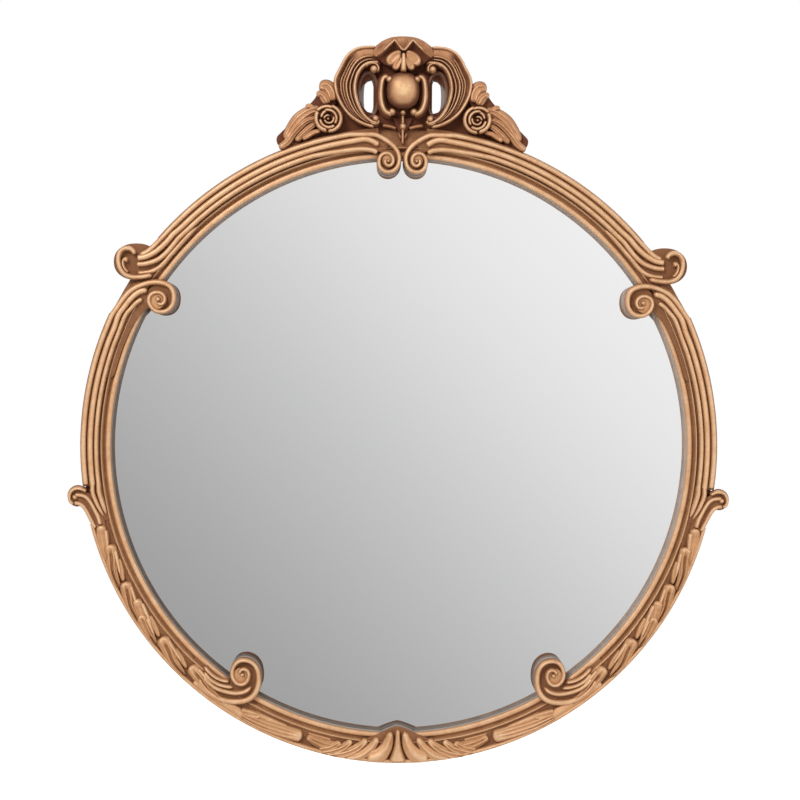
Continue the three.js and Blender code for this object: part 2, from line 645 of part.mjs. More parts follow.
// The two C-scrolls lie between an outer and an inner ellipse.
const outerC = { centre: above(40, 53.5), across: 45.5, up: 47.5 };
const innerC = { centre: above(34, 47.5), across: 22, up: 35 };
const C_FROM = 98;
const C_TO = -90;
const C_STEPS = 12;
const cSection = [[0, 9], [0.1, 17], [0.2, 17], [0.42, 10], [0.6, 14], [0.72, 10], [0.84, 18], [0.94, 18], [1, 10]];
const outerEdge = ellipse(outerC.centre, outerC.across, outerC.up, C_FROM, C_TO, C_STEPS);
const innerEdge = ellipse(innerC.centre, innerC.across, innerC.up, C_FROM, C_TO, C_STEPS);
const cScroll = loft(
  outerEdge.map((outer, i) => {
    const across = (share) => outer.clone().lerp(innerEdge[i], share);
    return [...cSection.map(([share, height]) => point(across(share), FACE + height)), point(across(1), FOOT), point(across(0), FOOT)];
  }),
);
const C_BEAD_RADIUS = 5;
const upperBead = spot(innerEdge[0].x + 4, innerEdge[0].y - C_BEAD_RADIUS * 0.8);
const lowerBead = spot(innerEdge[C_STEPS].x - 1, innerEdge[C_STEPS].y + 1);
addPair(
  "c_scroll",
  shaped(
    fused(
      cScroll,
      dome(upperBead, C_BEAD_RADIUS, FOOT, FACE + 20, 8),
      dome(lowerBead, C_BEAD_RADIUS, FOOT, FACE + 20, 8),
    ),
  ),
  FINISHES.gilding,
);

// The back plate carries the crest, is pierced inside each C-scroll and sits on the ring.
const WING_TURN = 22.3;
const WING_HEIGHT = 9;
const INSET_C = 3;
const SHOULDER = [above(118, 17), above(104, 44)];
const SHELL_BACKING = [above(28, 106), above(12, 111)];
const PIERCING = { centre: above(36, 43), across: 17, up: 21.5 };
const cInset = ellipse(outerC.centre, outerC.across - INSET_C, outerC.up - INSET_C, 12, 88, 7);
const rightSide = [
  onFrame(RING_RADIUS - 6, WING_TURN),
  onFrame(CARVING_RADIUS + WING_HEIGHT, WING_TURN - 0.6),
  ...SHOULDER,
  ...cInset,
  ...SHELL_BACKING,
];
const mirrored = (places) => places.map(({ x, y }) => spot(-x, y)).reverse();
const pierced = ellipse(PIERCING.centre, PIERCING.across, PIERCING.up, -90, 90, 7);
const backPlate = fused(plate([...rightSide, ...mirrored(rightSide)], RING_BACK, FACE, [pierced, mirrored(pierced)]));
const ringRoom = solid(disc(spot(0, 0), RING_RADIUS + GAP, 0, FACE * 2, RING_SEGMENTS));
add("crest_backplate", shaped(drilled(backPlate.subtract(ringRoom))), FINISHES.darkGround);

// Shell: a fan of folds over the middle of the crest, with a three-lobed leaf hanging in it.
const SHELL_WIDTH = 62;
const SHELL_FOLDS = 5;
const SHELL_STEPS = 18;
const shellRoot = above(0, 74);
const shellRim = (t) => above(SHELL_WIDTH * (t - 0.5), 96 + 20 * Math.sin(Math.PI * t) ** 0.8);
const shellFold = (t) => Math.cos(2 * Math.PI * SHELL_FOLDS * (t - 0.5));
const shell = loft(
  evenly(SHELL_STEPS, (t) => {
    const rim = shellRim(t);
    const root = spot(shellRoot.x + (rim.x - shellRoot.x) * 0.55, shellRoot.y + 5 * Math.cos(Math.PI * (t - 0.5)) - 5);
    const along = (share) => root.clone().lerp(rim, share);
    return [
      point(along(0), FOOT),
      point(along(0), FACE + 10),
      point(along(0.35), FACE + 16 + 2 * shellFold(t)),
      point(along(0.75), FACE + 20 + 3 * shellFold(t)),
      point(along(1), FACE + 14),
      point(along(1), FOOT),
    ];
  }),
);
const hangingLobes = [-1, 0, 1].map((side) =>
  ridge(bend(above(0, 102), -90 + side * 60, above(side * 17, 78 + 8 * Math.abs(side)), -90 + side * 20, 6, 5), {
    width: 10,
    crown: FACE + 26,
    foot: FACE + 8,
    swell: (t) => Math.max(0.25, Math.sin(Math.PI * (0.2 + 0.75 * t))),
  }),
);
add("crest_shell", shaped(fused(shell, ...hangingLobes)), FINISHES.gilding);

// Cartouche: a domed boss with a strap each side and a drop below.
const BOSS_HALF_WIDTH = 16.5;
const BOSS_HALF_HEIGHT = 19.5;
const BOSS_STAND = 32;
const bossCentre = above(0, 47);
const bossLevels = [[1, 0], [1, 0.42], [0.93, 0.66], [0.78, 0.84], [0.55, 0.95], [0.25, 1]];
const SQUARENESS = 3;
const squircle = (angle) => {
  const [c, s] = [Math.cos(angle), Math.sin(angle)];
  return (Math.abs(c) ** SQUARENESS + Math.abs(s) ** SQUARENESS) ** (-1 / SQUARENESS);
};
const boss = loft(
  bossLevels.map(([share, level]) =>
    evenly(20, (t) => {
      const angle = 2 * Math.PI * t;
      const out = share * squircle(angle);
      const place = spot(bossCentre.x + BOSS_HALF_WIDTH * out * Math.cos(angle), bossCentre.y + BOSS_HALF_HEIGHT * out * Math.sin(angle));
      return point(place, lerp(FOOT, FACE + BOSS_STAND, level));
    }).slice(1),
  ),
);
add("cartouche_boss", boss, FINISHES.gilding);

const strapPath = joined(
  bend(above(25, 66), -75, above(27, 47), -92, 6, 4),
  bend(above(27, 47), -92, above(15, 20), -150, 12, 6),
);
addPair("cartouche_strap", ridge(strapPath, { width: 7, crown: FACE + 19 }), FINISHES.gilding);

add(
  "pendant_drop",
  shaped(
    fused(
      ridge([above(0, 16), above(0, 1), above(0, -13)], { width: 4, crown: FACE + 12 }),
      dome(above(0, 5.5), 4.4, FOOT, FACE + 18, 10),
    ),
  ),
  FINISHES.gilding,
);

// Roses and leaf sprays fill the shoulders.
const ROSE_RADIUS = 15.5;
const rosePlace = above(92, 16.5);
const SPRAY_STAND = 5.5; // thickness of the spray's own ground
const roseFoot = FOOT + SPRAY_STAND + GAP;
const roseProfile = [[0, 0], [1, 0], [1, 0.55], [0.86, 0.95], [0.68, 0.9], [0.56, 0.45], [0.42, 0.95], [0.2, 1], [0, 0.8]];
const ROSE_STAND = 22;
const roseGeometry = moved(
  turned(roseProfile.map(([out, up]) => [out * ROSE_RADIUS, lerp(roseFoot, FACE + ROSE_STAND, up)]), 16),
  rosePlace,
);
addPair("rose", roseGeometry, FINISHES.gilding);

const sprayGround = [
  above(93, 33),
  above(86.5, 36),
  above(90, 52),
  above(104, 50),
  above(110, 30),
  above(126, 25),
  above(118, 10),
  above(139, -8),
  above(128, -10),
  above(108, 0),
  above(100, 4),
  above(90, 8),
];
const sprayLeaves = [
  { from: above(89, 43), to: above(114, 50), leaving: 5, arriving: 20, width: 18 },
  { from: above(108, 24), to: above(132, 29), leaving: 10, arriving: 10, width: 15 },
  { from: above(111, 12), to: above(154, -19), leaving: -10, arriving: -60, width: 20 },
];
const sprayLeaf = ({ from, to, leaving, arriving, width }) =>
  leaf(bend(from, leaving, to, arriving, from.distanceTo(to) / 3, LEAF_STEPS), width);
const spray = fused(plate(sprayGround, FOOT, FOOT + SPRAY_STAND), ...sprayLeaves.map(sprayLeaf));
const roseRoom = solid(disc(rosePlace, ROSE_RADIUS + GAP, roseFoot - GAP, FACE * 2, 16));
const archRoom = solid(disc(spot(0, 0), CARVING_RADIUS + GAP, 0, FACE * 2, RING_SEGMENTS));
addPair("leaf_spray", shaped(spray.subtract(roseRoom).subtract(archRoom)), FINISHES.gilding);

export default mirror;
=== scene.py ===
"""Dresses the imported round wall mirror: fine carving, gilding, domed glass, fittings, stage and camera.

The carving is laid out in millimetres on the frame's face, as [x, z] from the frame's centre. A turn is in
degrees from the top, clockwise as seen from the front, and a height is how far a surface stands off the wall.
"""

import json
import math

import bpy
import numpy as np
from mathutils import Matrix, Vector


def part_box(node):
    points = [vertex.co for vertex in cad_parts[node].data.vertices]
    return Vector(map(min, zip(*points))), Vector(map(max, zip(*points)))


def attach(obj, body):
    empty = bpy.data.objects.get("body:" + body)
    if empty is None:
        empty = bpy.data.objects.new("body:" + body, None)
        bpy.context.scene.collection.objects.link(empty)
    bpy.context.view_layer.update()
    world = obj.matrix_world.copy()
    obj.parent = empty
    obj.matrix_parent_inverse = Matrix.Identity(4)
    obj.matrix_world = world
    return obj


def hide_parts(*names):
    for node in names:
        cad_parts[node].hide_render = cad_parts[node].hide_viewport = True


bl_info = {
    "name": "Gilt Wall Mirror",
    "version": (1, 0, 0),
    "blender": (4, 5, 0),
    "location": "View3D > Sidebar > Mirror",
    "description": "Builds the carved and gilded surfaces of a round domed wall mirror",
    "category": "Add Mesh",
}

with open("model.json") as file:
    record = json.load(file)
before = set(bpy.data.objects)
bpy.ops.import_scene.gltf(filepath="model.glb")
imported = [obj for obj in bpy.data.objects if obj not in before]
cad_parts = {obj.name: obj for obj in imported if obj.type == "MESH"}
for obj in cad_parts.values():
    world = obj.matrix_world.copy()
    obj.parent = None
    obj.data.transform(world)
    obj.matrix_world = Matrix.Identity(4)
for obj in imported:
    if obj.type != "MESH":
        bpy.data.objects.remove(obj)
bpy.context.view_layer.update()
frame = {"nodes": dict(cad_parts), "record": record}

# ---- Layout of the frame, in millimetres ---------------------------------------------------------

MM = 0.001
CENTRE_Z = float(np.mean([corner[2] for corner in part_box("base_ring")])) / MM
SIGHT = 356.5  # radius of the opening that shows the glass
REED_INNER, EDGE = 371.0, 393.5  # radii of the carving
REEDS = (388.9, 380.7, 373.5)  # radius of the three reeds, from the outer one inwards
MIDDLE_REED, INNER_REED = 7.8, 5.8  # their widths, where they differ from the outer one
RING_BACK, FACE = 7.0, 27.0  # heights of the turned ring
SKIRT = 24.3  # underside of what overhangs the glass
FOOT = 27.3  # underside of the grounds
RIDGE_FOOT = FOOT + 0.8  # underside of what stands on a ground
VALLEY, REED_CROWN = 35.6, 41.0
VOLUTE_FLOOR, VOLUTE_CROWN = 36.0, 43.0

# ---- Paths on the face ---------------------------------------------------------------------------


def place(turn, radius):
    """[x, z] of a turn and a radius: x = r sin(turn), z = r cos(turn)."""
    angle = np.radians(turn)
    return np.stack([radius * np.sin(angle), radius * np.cos(angle)], axis=-1)


def arc(radius, start, end, pitch=1.6):
    """Equal steps of turn at one radius."""
    steps = max(3, int(abs(math.radians(end - start)) * radius / pitch))
    return place(np.linspace(start, end, steps + 1), radius)


def run(path):
    """Length along the path up to each of its points."""
    return np.concatenate([[0], np.cumsum(np.linalg.norm(np.diff(path, axis=0), axis=1))])


def share(path):
    """Length along the path at each of its points, as a share of the whole."""
    return run(path) / run(path)[-1]


def resampled(path, count):
    """The same curve with that many evenly spaced points, by linear interpolation over its length."""
    at = np.linspace(0, 1, count)
    return np.stack([np.interp(at, share(path), path[:, i]) for i in (0, 1)], axis=-1)


def evenly_spaced(path, pitch):
    """The same curve with points a pitch apart and none of them double."""
    path = path[np.concatenate([[True], np.diff(run(path)) > 1e-6])]
    return resampled(path, max(6, int(run(path)[-1] / pitch)) + 1)


def through(places, pitch=1.2):
    """A smooth curve through places: between p1 and p2 it is the Catmull-Rom cubic of p0 p1 p2 p3."""
    p = np.array(places, dtype=float)
    p = np.concatenate([[2 * p[0] - p[1]], p, [2 * p[-1] - p[-2]]])
    t = np.linspace(0, 1, 24, endpoint=False)[:, None, None]
    p0, p1, p2, p3 = p[:-3], p[1:-2], p[2:-1], p[3:]
    bend = (p2 - p0) * t + (2 * p0 - 5 * p1 + 4 * p2 - p3) * t**2 + (3 * p1 - p0 - 3 * p2 + p3) * t**3
    curve = (p1 + bend / 2).transpose(1, 0, 2).reshape(-1, 2)
    return evenly_spaced(np.concatenate([curve, p[-2:-1]]), pitch)


def curve(path):
    """A list of places as the smooth curve through them. A path that is one already stays as it is."""
    return through(path) if isinstance(path, list) else path


def soften(values, times):
    """Rounds corners by a moving average of 1 2 1, as often as times says. The ends stay."""
    for _ in range(times):
        values[1:-1] = (values[:-2] + 2 * values[1:-1] + values[2:]) / 4
    return values


def joined(*paths, pitch=1.2, times=4):
    """Paths one after the other as one, its corners rounded."""
    return soften(evenly_spaced(np.concatenate([curve(path) for path in paths]), pitch), times)


def beside(path):
    """Unit vectors square to the path, to the right of the way it runs."""
    along = np.gradient(path, axis=0)
    along /= np.linalg.norm(along, axis=1, keepdims=True) + 1e-12
    return np.stack([along[:, 1], -along[:, 0]], axis=-1)


def egg(centre, across, up, blunt=2.0, steps=72):
    """A closed outline |x / across|^blunt + |z / up|^blunt = 1 about a centre."""
    a = np.linspace(0, 2 * math.pi, steps, endpoint=False)
    x, z = (size * np.sign(w) * np.abs(w) ** (2 / blunt) for size, w in ((across, np.cos(a)), (up, np.sin(a))))
    return np.stack([centre[0] + x, centre[1] + z], axis=-1)


# ---- Surfaces ------------------------------------------------------------------------------------


class Shell:
    """A closed grid of points: corners (n, 3) in millimetres on the face, faces, 0 to 1 for how high each corner
    lies, which the gilding shows as dark wash and painted shade where low and as bright gold and painted highlight
    where high, and how bare of gilding it is. The first and last rings are joined, or else each is capped."""

    def __init__(self, points, high, loop_rings=False, bare=None):
        rings, sides = points.shape[:2]
        index = np.arange(rings * sides).reshape(rings, sides)
        here, ahead = (index, np.roll(index, -1, axis=0)) if loop_rings else (index[:-1], index[1:])
        self.quads = np.stack([here, np.roll(here, -1, axis=1), np.roll(ahead, -1, axis=1), ahead], axis=-1)
        self.quads = self.quads.reshape(-1, 4)
        self.triangles = np.zeros((0, 3), dtype=int)
        self.corners = points.reshape(-1, 3)
        self.high = np.broadcast_to(high, (rings, sides)).astype(float)
        self.bare = None if bare is None else np.broadcast_to(bare, (rings, sides)).astype(float).ravel()
        if not loop_rings:
            self.corners = np.concatenate([self.corners, points[[0, -1]].mean(axis=1)])
            middles = [
                np.stack([np.full(sides, index.size + cap), np.roll(ring, -1 + cap), np.roll(ring, -cap)], axis=-1)
                for cap, ring in enumerate(index[[0, -1]])
            ]
            self.triangles = np.concatenate(middles)
            self.high = np.append(self.high, self.high[[0, -1]].mean(axis=1))
        self.high = self.high.ravel()

    def mirrored(self):
        """The same shell on the other side of x = 0."""
        twin = object.__new__(Shell)
        twin.__dict__.update(self.__dict__, corners=self.corners * [-1, 1, 1])
        return twin


def volume(corners, quads, triangles):
    """Signed volume: a sixth of the sum of a . (b x c) over the faces' triangles."""
    faces = np.concatenate([quads[:, [0, 1, 2]], quads[:, [0, 2, 3]], triangles])
    a, b, c = (corners[faces[:, i]] for i in range(3))
    return np.einsum("ij,ij->", a, np.cross(b, c)) / 6


def grid_of(x, height, z):
    """Points on the face as (x, height, z)."""
    return np.stack(np.broadcast_arrays(x, height, z), axis=-1).astype(float)


def lerp(a, b, t):
    return a + (b - a) * t


def closed(x, height, z, high, under, low=0.0):
    """A surface whose two long sides drop to its underside, as one shell. Low is high for the underside."""
    under = np.broadcast_to(under, (len(x), 2))
    x, z = (np.concatenate([v, v[:, [-1, 0]]], axis=1) for v in (x, z))
    high = np.concatenate([np.broadcast_to(high, height.shape), np.full(under.shape, low)], axis=1)
    return Shell(grid_of(x, np.concatenate([height, under], axis=1), z), high)


def ends_rounded(path, start, end):
    """1 along the path, falling as a quarter circle over the reach given at its start and its end."""
    size, along = np.ones(len(path)), run(path)
    for reach, distance in ((start, along), (end, along[-1] - along)):
        if reach > 0:
            size *= np.sqrt(np.clip(1 - (1 - np.clip(distance / reach, 0, 1)) ** 2, 0.0004, 1))
    return size


def carried(path, width, crown, base, fullness=0.8, sides=18, start=2, end=2, shade=(-0.15, 1), foot=RIDGE_FOOT):
    """A ridge along a path. With a from 0 to pi across it, its points are path + cos(a) * width / 2 * beside, at
    base + sin(a)^fullness * (crown - base). Shade gives its high value at its foot and at its crown: low paints
    shade with the wash, high paints highlight with the wear."""
    path = curve(path)
    a = np.linspace(0, math.pi, sides)
    rise = np.sin(a) ** fullness
    size = ends_rounded(path, start, end)
    width, crown, base = (np.broadcast_to(v, len(path)).astype(float) for v in (width, crown, base))
    half = (width / 2 * size)[:, None] * np.cos(a)
    x, z = (path[:, i, None] + beside(path)[:, i, None] * half for i in (0, 1))
    height = base[:, None] + ((crown - base) * size)[:, None] * rise
    return closed(x, height, z, lerp(*shade, rise), foot)


def reed(path, crown=REED_CROWN, base=VALLEY, width=None, **ends):
    return carried(path, shape().reed_width if width is None else width, crown, base, 0.8, 20, **ends)


def wound(path, crown=VOLUTE_CROWN, base=VOLUTE_FLOOR - 1.5, width=None, **ends):
    return carried(path, shape().ridge_width if width is None else width, crown, base, 0.75, 20, **ends)


def volute(path, widths, crowns, low=REED_CROWN, base=VOLUTE_FLOOR - 1.5, start=0):
    """The ridge that winds in over the glass. Its width and crown change at shares of its length, and its
    underside comes down to the skirt where it overhangs the glass."""
    width = np.interp(share(path), *widths)
    crown = np.interp(share(path), crowns, [low, REED_CROWN, VOLUTE_CROWN, VOLUTE_CROWN + 1])
    foot = np.where(np.hypot(*path.T) < SIGHT - 2, SKIRT, RIDGE_FOOT)[:, None]
    return wound(path, crown, base, width, start=start, foot=foot)


def rim(start, end, crown=38.2):
    """The plain bead along the outer edge."""
    return carried(arc(EDGE - 2.9, start, end), 5.8, crown, FOOT + 3, 0.6, start=0, end=0, shade=(0.1, 0.9))


def ledge(path, width, top, tone=0.05, end=None):
    """Flat ground carried along a path, with rounded ends and edges."""
    reach = width * 0.35 if end is None else end
    return carried(path, width, top, top - 1.0, 0.12, 14, reach, reach, (tone, tone), FOOT + 0.3)


def band(inner, outer, start, end, heights, shade):
    """Ground between two radii over a stretch of turn, its top a straight line between two heights."""
    path = arc((inner + outer) / 2, start, end, 2.5)
    v, side = np.linspace(-1, 1, 7), beside(path)
    outwards = np.sign((side * path).sum(axis=1)).mean()
    x, z = (path[:, i, None] + side[:, i, None] * (outer - inner) / 2 * v for i in (0, 1))
    top = np.broadcast_to(lerp(*heights, (v * outwards + 1) / 2), x.shape)
    return closed(x, top, z, shade, FOOT + 0.15, shade)


def turned(profile, segments, high):
    """A closed profile of (radius, height) turned about the frame's axis."""
    radius, height = np.array(profile, dtype=float).T
    angle = np.linspace(0, 2 * math.pi, segments, endpoint=False)[:, None]
    return Shell(grid_of(radius * np.cos(angle), height, radius * np.sin(angle)), high, loop_rings=True)


def spun(profile, centre=(0, 0), segments=256, high=0.0):
    """A profile of (radius, height) that starts and ends on an axis through the centre, turned about it."""
    radius, height = np.array(profile, dtype=float).T[:, :, None]
    angle = np.linspace(0, 2 * math.pi, segments, endpoint=False)
    grid = grid_of(centre[0] + radius * np.cos(angle), height, centre[1] + radius * np.sin(angle))
    high = np.broadcast_to(high, len(grid))
    shell = Shell(grid[1:-1], high[1:-1, None])
    shell.corners[-2:], shell.high[-2:] = grid[[0, -1], 0], high[[0, -1]]
    return shell


def bead(spot, radius, base, crown):
    """A bead: radius cos(a) at the height base + (crown - base) sin(a), on a stem down to its foot."""
    a = np.linspace(0, math.pi / 2, 12)
    stem = RIDGE_FOOT + 0.3
    dome = zip(radius * np.cos(a), base + (crown - base) * np.sin(a))
    return spun([(0, stem), (radius * 0.96, stem), *dome], spot, 28, [0, 0, *lerp(0.25, 1, np.sin(a))])


def slab(outline, foot, top, bevel, high):
    """A plate with a rounded rim: the outline at each level, drawn in to its middle by the rim's quarter circle."""
    outline = np.asarray(outline, dtype=float)
    side = outline - outline.mean(axis=0)
    side /= np.linalg.norm(side, axis=1, keepdims=True)
    a = np.linspace(0, math.pi / 2, 5)
    inset = np.append(0, bevel * (1 - np.cos(a)))[:, None]
    level = np.append(foot, top - bevel + bevel * np.sin(a))[:, None]
    x, z = (outline[:, i] - side[:, i] * inset for i in (0, 1))
    return Shell(grid_of(x, level, z), np.linspace(0, high, len(level))[:, None])


def disc(eye, radius, top):
    """Round ground under a volute."""
    return slab(egg(eye, radius, radius), FOOT, top, 1.6, 0.05)


def filling(centre, across, up):
    """The raised ground inside a coil."""
    return slab(egg(centre, across, up), VALLEY - 2, VOLUTE_CROWN - 3.5, 1.0, 0.75)


def petal(path, widths, crown, edge, tip, root, shade=(0, 1), flutes=0, depth=0.0, hollow=0.0, keel=0.0):
    """A carved leaf from its root to its tip. Across it, from -1 to 1 in v, it rises as (1 - |v|^3)^0.65, less a
    hollow exp(-(v / 0.42)^2) down its middle that fades at the tip, less flutes cos(pi n v), plus a keel
    exp(-(v / 0.12)^2). Its width runs smoothly through the widths, and a quarter circle closes each end."""
    path = evenly_spaced(curve(path), 0.9)
    u, v = share(path)[:, None], np.linspace(-1, 1, 26)
    wide = soften(np.interp(u[:, 0], np.linspace(0, 1, len(widths)), widths), 12)[:, None]
    size = ends_rounded(path, root, tip)[:, None]
    x, z = (path[:, i, None] + beside(path)[:, i, None] * wide / 2 * size * v for i in (0, 1))
    reach, limit = np.hypot(x, z), EDGE - 1.2
    pull = np.where((z < 0) & (reach > limit), limit / reach, 1.0)
    fade = np.clip((1 - u) * 4.5, 0, 1) ** 1.5
    cut = hollow * np.exp(-((v / 0.42) ** 2)) + depth * (0.5 - 0.5 * np.cos(math.pi * flutes * (v + 1))) * (1 - v**6)
    rise = (1 - np.abs(v) ** 3) ** 0.65 * (1 - cut * fade) + keel * np.exp(-((v / 0.12) ** 2)) * (1 - u**6)
    rise = np.clip(rise, 0, 1.4)
    height = edge + (crown - edge) * rise * size**0.7
    return closed(x * pull, height, z * pull, lerp(*shade, np.clip(rise, 0, 1)), RIDGE_FOOT - 0.2)


def on_band(stops):
    """A smooth path through stops of turn and inset from the carving's edge."""
    return through([place(turn, EDGE - inset) for turn, inset in stops])


# ---- Objects -------------------------------------------------------------------------------------


def bare_edge(spots):
    """1 low on the sides that overhang the glass, which the gilder's brush doesn't reach, and 0 elsewhere."""
    reach, gilded_down_to, fade = SIGHT + 1.5, 31.0, 7.0
    radius = np.hypot(spots[:, 0], spots[:, 2] - CENTRE_Z * MM) / MM
    return np.clip(reach - radius, 0, 1) * np.clip((gilded_down_to + spots[:, 1] / MM) / fade, 0, 1)


def piece(name, shells, look, node, body="frame", smooth=60):
    """One object from several shells, each turned to face outwards. It stands for the CAD node."""
    parts, first = [], 0
    for shell in shells:
        spots = (shell.corners * [1, -1, 1] + [0, 0, CENTRE_Z]) * MM
        turn = -1 if volume(spots - spots.mean(axis=0), shell.quads, shell.triangles) < 0 else 1
        faces = [corners[:, ::turn] + first for corners in (shell.quads, shell.triangles)]
        parts.append([spots, *faces, shell.high, bare_edge(spots) if shell.bare is None else shell.bare])
        first += len(spots)
    corners, quads, triangles, high, bare = map(np.concatenate, zip(*parts))
    mesh = bpy.data.meshes.new(name)
    mesh.vertices.add(len(corners))
    mesh.vertices.foreach_set("co", corners.ravel())
    mesh.loops.add(quads.size + triangles.size)
    mesh.loops.foreach_set("vertex_index", np.append(quads, triangles).astype(np.int32))
    mesh.polygons.add(len(quads) + len(triangles))
    starts = np.append(np.arange(len(quads)) * 4, quads.size + np.arange(len(triangles)) * 3)
    mesh.polygons.foreach_set("loop_start", starts.astype(np.int32))
    mesh.update(calc_edges=True)
    mesh.validate()
    mesh.polygons.foreach_set("use_smooth", np.ones(len(mesh.polygons), dtype=bool))
    mesh.set_sharp_from_angle(angle=math.radians(smooth))
    # The high value drives painted shade and painted highlight in the gilding, along with its wash and wear.
    for label, values in (("high", high), ("bare", bare)):
        mesh.attributes.new(label, "FLOAT", "POINT").data.foreach_set("value", values.astype(np.float32))
    dressed(bpy.data.objects.new(name, mesh), look, node, body)
    return {"FINISHED"}


def painted(made, look):
    """Gives an object one finish."""
    made.data.materials.clear()
    made.data.materials.append(finish(look))


def dressed(made, look, node, body="frame"):
    """Links the object, gives it its finish, lets it ride its body and stand for its CAD node."""
    bpy.context.scene.collection.objects.link(made)
    painted(made, look)
    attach(made, body)
    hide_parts(node)


def pair(name, shells, look="gilding"):
    """The right-hand piece and its mirror image on the left."""
    piece(f"carved_{name}_right", shells, look, f"{name}_right")
    return piece(f"carved_{name}_left", [s.mirrored() for s in shells], look, f"{name}_left")


# ---- Finishes ------------------------------------------------------------------------------------


def feed(tree, sockets, values):
    """Gives sockets their values by name: a number or colour is set, and another node's socket is linked."""
    for name, value in values.items():
        if isinstance(value, bpy.types.NodeSocket):
            tree.links.new(value, sockets[name])
        else:
            sockets[name].default_value = value


def node(tree, kind, inputs=None, **settings):
    """A shader node with its settings and its inputs' values."""
    made = tree.nodes.new(f"ShaderNode{kind}")
    for name, value in settings.items():
        setattr(made, name, value)
    feed(tree, made.inputs, inputs or {})
    return made


def calc(tree, operation, *values, clamp=False):
    """A Math node's result. Each value is a socket or a number."""
    made = node(tree, "Math", operation=operation, use_clamp=clamp)
    feed(tree, made.inputs, dict(enumerate(values)))
    return made.outputs[0]


def blend(tree, factor, a, b, kind="Color"):
    """A mix of two colours, or of two numbers where the kind is Float."""
    made = node(tree, "Mix", data_type={"Color": "RGBA", "Float": "FLOAT"}[kind])
    sockets = {socket.identifier: socket for socket in [*made.inputs, *made.outputs]}
    feed(tree, sockets, {"Factor_Float": factor, f"A_{kind}": a, f"B_{kind}": b})
    return sockets[f"Result_{kind}"]


def between(tree, value, low, high):
    """0 below low and 1 above high, smooth between."""
    inputs = {"Value": value, "From Min": low, "From Max": high}
    return node(tree, "MapRange", inputs, interpolation_type="SMOOTHSTEP").outputs["Result"]


def noise(tree, scale, detail, roughness, distortion=0.0):
    """Noise on the object's own coordinates: scale is features to the metre."""
    where = node(tree, "TexCoord").outputs["Object"]
    inputs = {"Vector": where, "Scale": scale, "Detail": detail, "Roughness": roughness, "Distortion": distortion}
    return node(tree, "TexNoise", inputs).outputs["Fac"]


def wash_and_painted_shade_group():
    """Gilding: a dark wash in the hollows, gold on the swells, and bright gold where the crowns are rubbed. The
    dark is partly real antique wash and partly painted shade in low and sheltered places, and the bright gold is
    partly wear and partly painted highlight on the open crowns.
    """
    tree = bpy.data.node_groups.new("Gilding wash and painted shade", "ShaderNodeTree")
    for label, default in {
        "Dark": (0.05, 0.016, 0.006, 1),
        "Gold": (0.5, 0.27, 0.13, 1),
        "Bright": (0.85, 0.55, 0.31, 1),
        "Bare": (0.5, 0.45, 0.4, 1),
        "Wash and shade": 0.5,
        "Open": 1.0,
    }.items():
        kind = "NodeSocketFloat" if isinstance(default, float) else "NodeSocketColor"
        tree.interface.new_socket(name=label, in_out="INPUT", socket_type=kind).default_value = default
    for label, kind in (("Color", "Color"), ("Roughness", "Float"), ("Height", "Float")):
        tree.interface.new_socket(name=label, in_out="OUTPUT", socket_type=f"NodeSocket{kind}")
    given, out = tree.nodes.new("NodeGroupInput").outputs, tree.nodes.new("NodeGroupOutput").inputs

    def work(operation, *values, **settings):
        return calc(tree, operation, *values, **settings)

    high, bare = (node(tree, "Attribute", attribute_name=name).outputs["Fac"] for name in ("high", "bare"))
    mottle, speck, brush = noise(tree, 55, 4, 0.6), noise(tree, 420, 3, 0.55), noise(tree, 150, 3, 0.6, 0.6)
    brushed = work("MULTIPLY", work("SUBTRACT", brush, 0.5), 0.35)
    uneven = work("MULTIPLY_ADD", work("SUBTRACT", mottle, 0.5), 0.55, brushed)
    level = work("ADD", high, uneven)
    # Painted shade with the wash: the colour goes to Dark where ambient occlusion finds shelter and where the high
    # value is low.
    shelter = work("SUBTRACT", 1.0, between(tree, given["Open"], 0.12, 0.75))
    low = work("SUBTRACT", 1.0, between(tree, level, 0.0, 0.72))
    dark = work("MULTIPLY", work("MAXIMUM", shelter, low), given["Wash and shade"], clamp=True)
    # Painted highlight with the wear: bright gold where the high value is at its top and ambient occlusion finds the
    # surface open.
    wear_and_painted_highlight = work("MULTIPLY", between(tree, level, 0.72, 1.08), between(tree, given["Open"], 0.55, 0.95))
    colour = blend(tree, wear_and_painted_highlight, given["Gold"], given["Bright"])
    colour = blend(tree, bare, blend(tree, dark, colour, given["Dark"]), given["Bare"])
    grain = work("MULTIPLY_ADD", work("SUBTRACT", speck, 0.5), 0.3, 1.0)
    results = {
        "Color": node(tree, "HueSaturation", {"Color": colour, "Value": grain}).outputs["Color"],
        "Roughness": work("MULTIPLY_ADD", dark, 0.35, work("MULTIPLY_ADD", speck, 0.16, 0.4)),
        "Height": work("MULTIPLY_ADD", brush, 0.6, work("MULTIPLY", speck, 0.4)),
    }
    feed(tree, out, results)
    return tree


def blank(name):
    """A material with only its Principled shader."""
    material = bpy.data.materials.new(name)
    material.use_nodes = True
    tree = material.node_tree
    return material, tree, tree.nodes["Principled BSDF"].inputs


def raised(tree, height, distance, strength=1.0):
    """The normal of a surface that stands out by the height times the distance."""
    return node(tree, "Bump", {"Height": height, "Distance": distance, "Strength": strength}).outputs["Normal"]


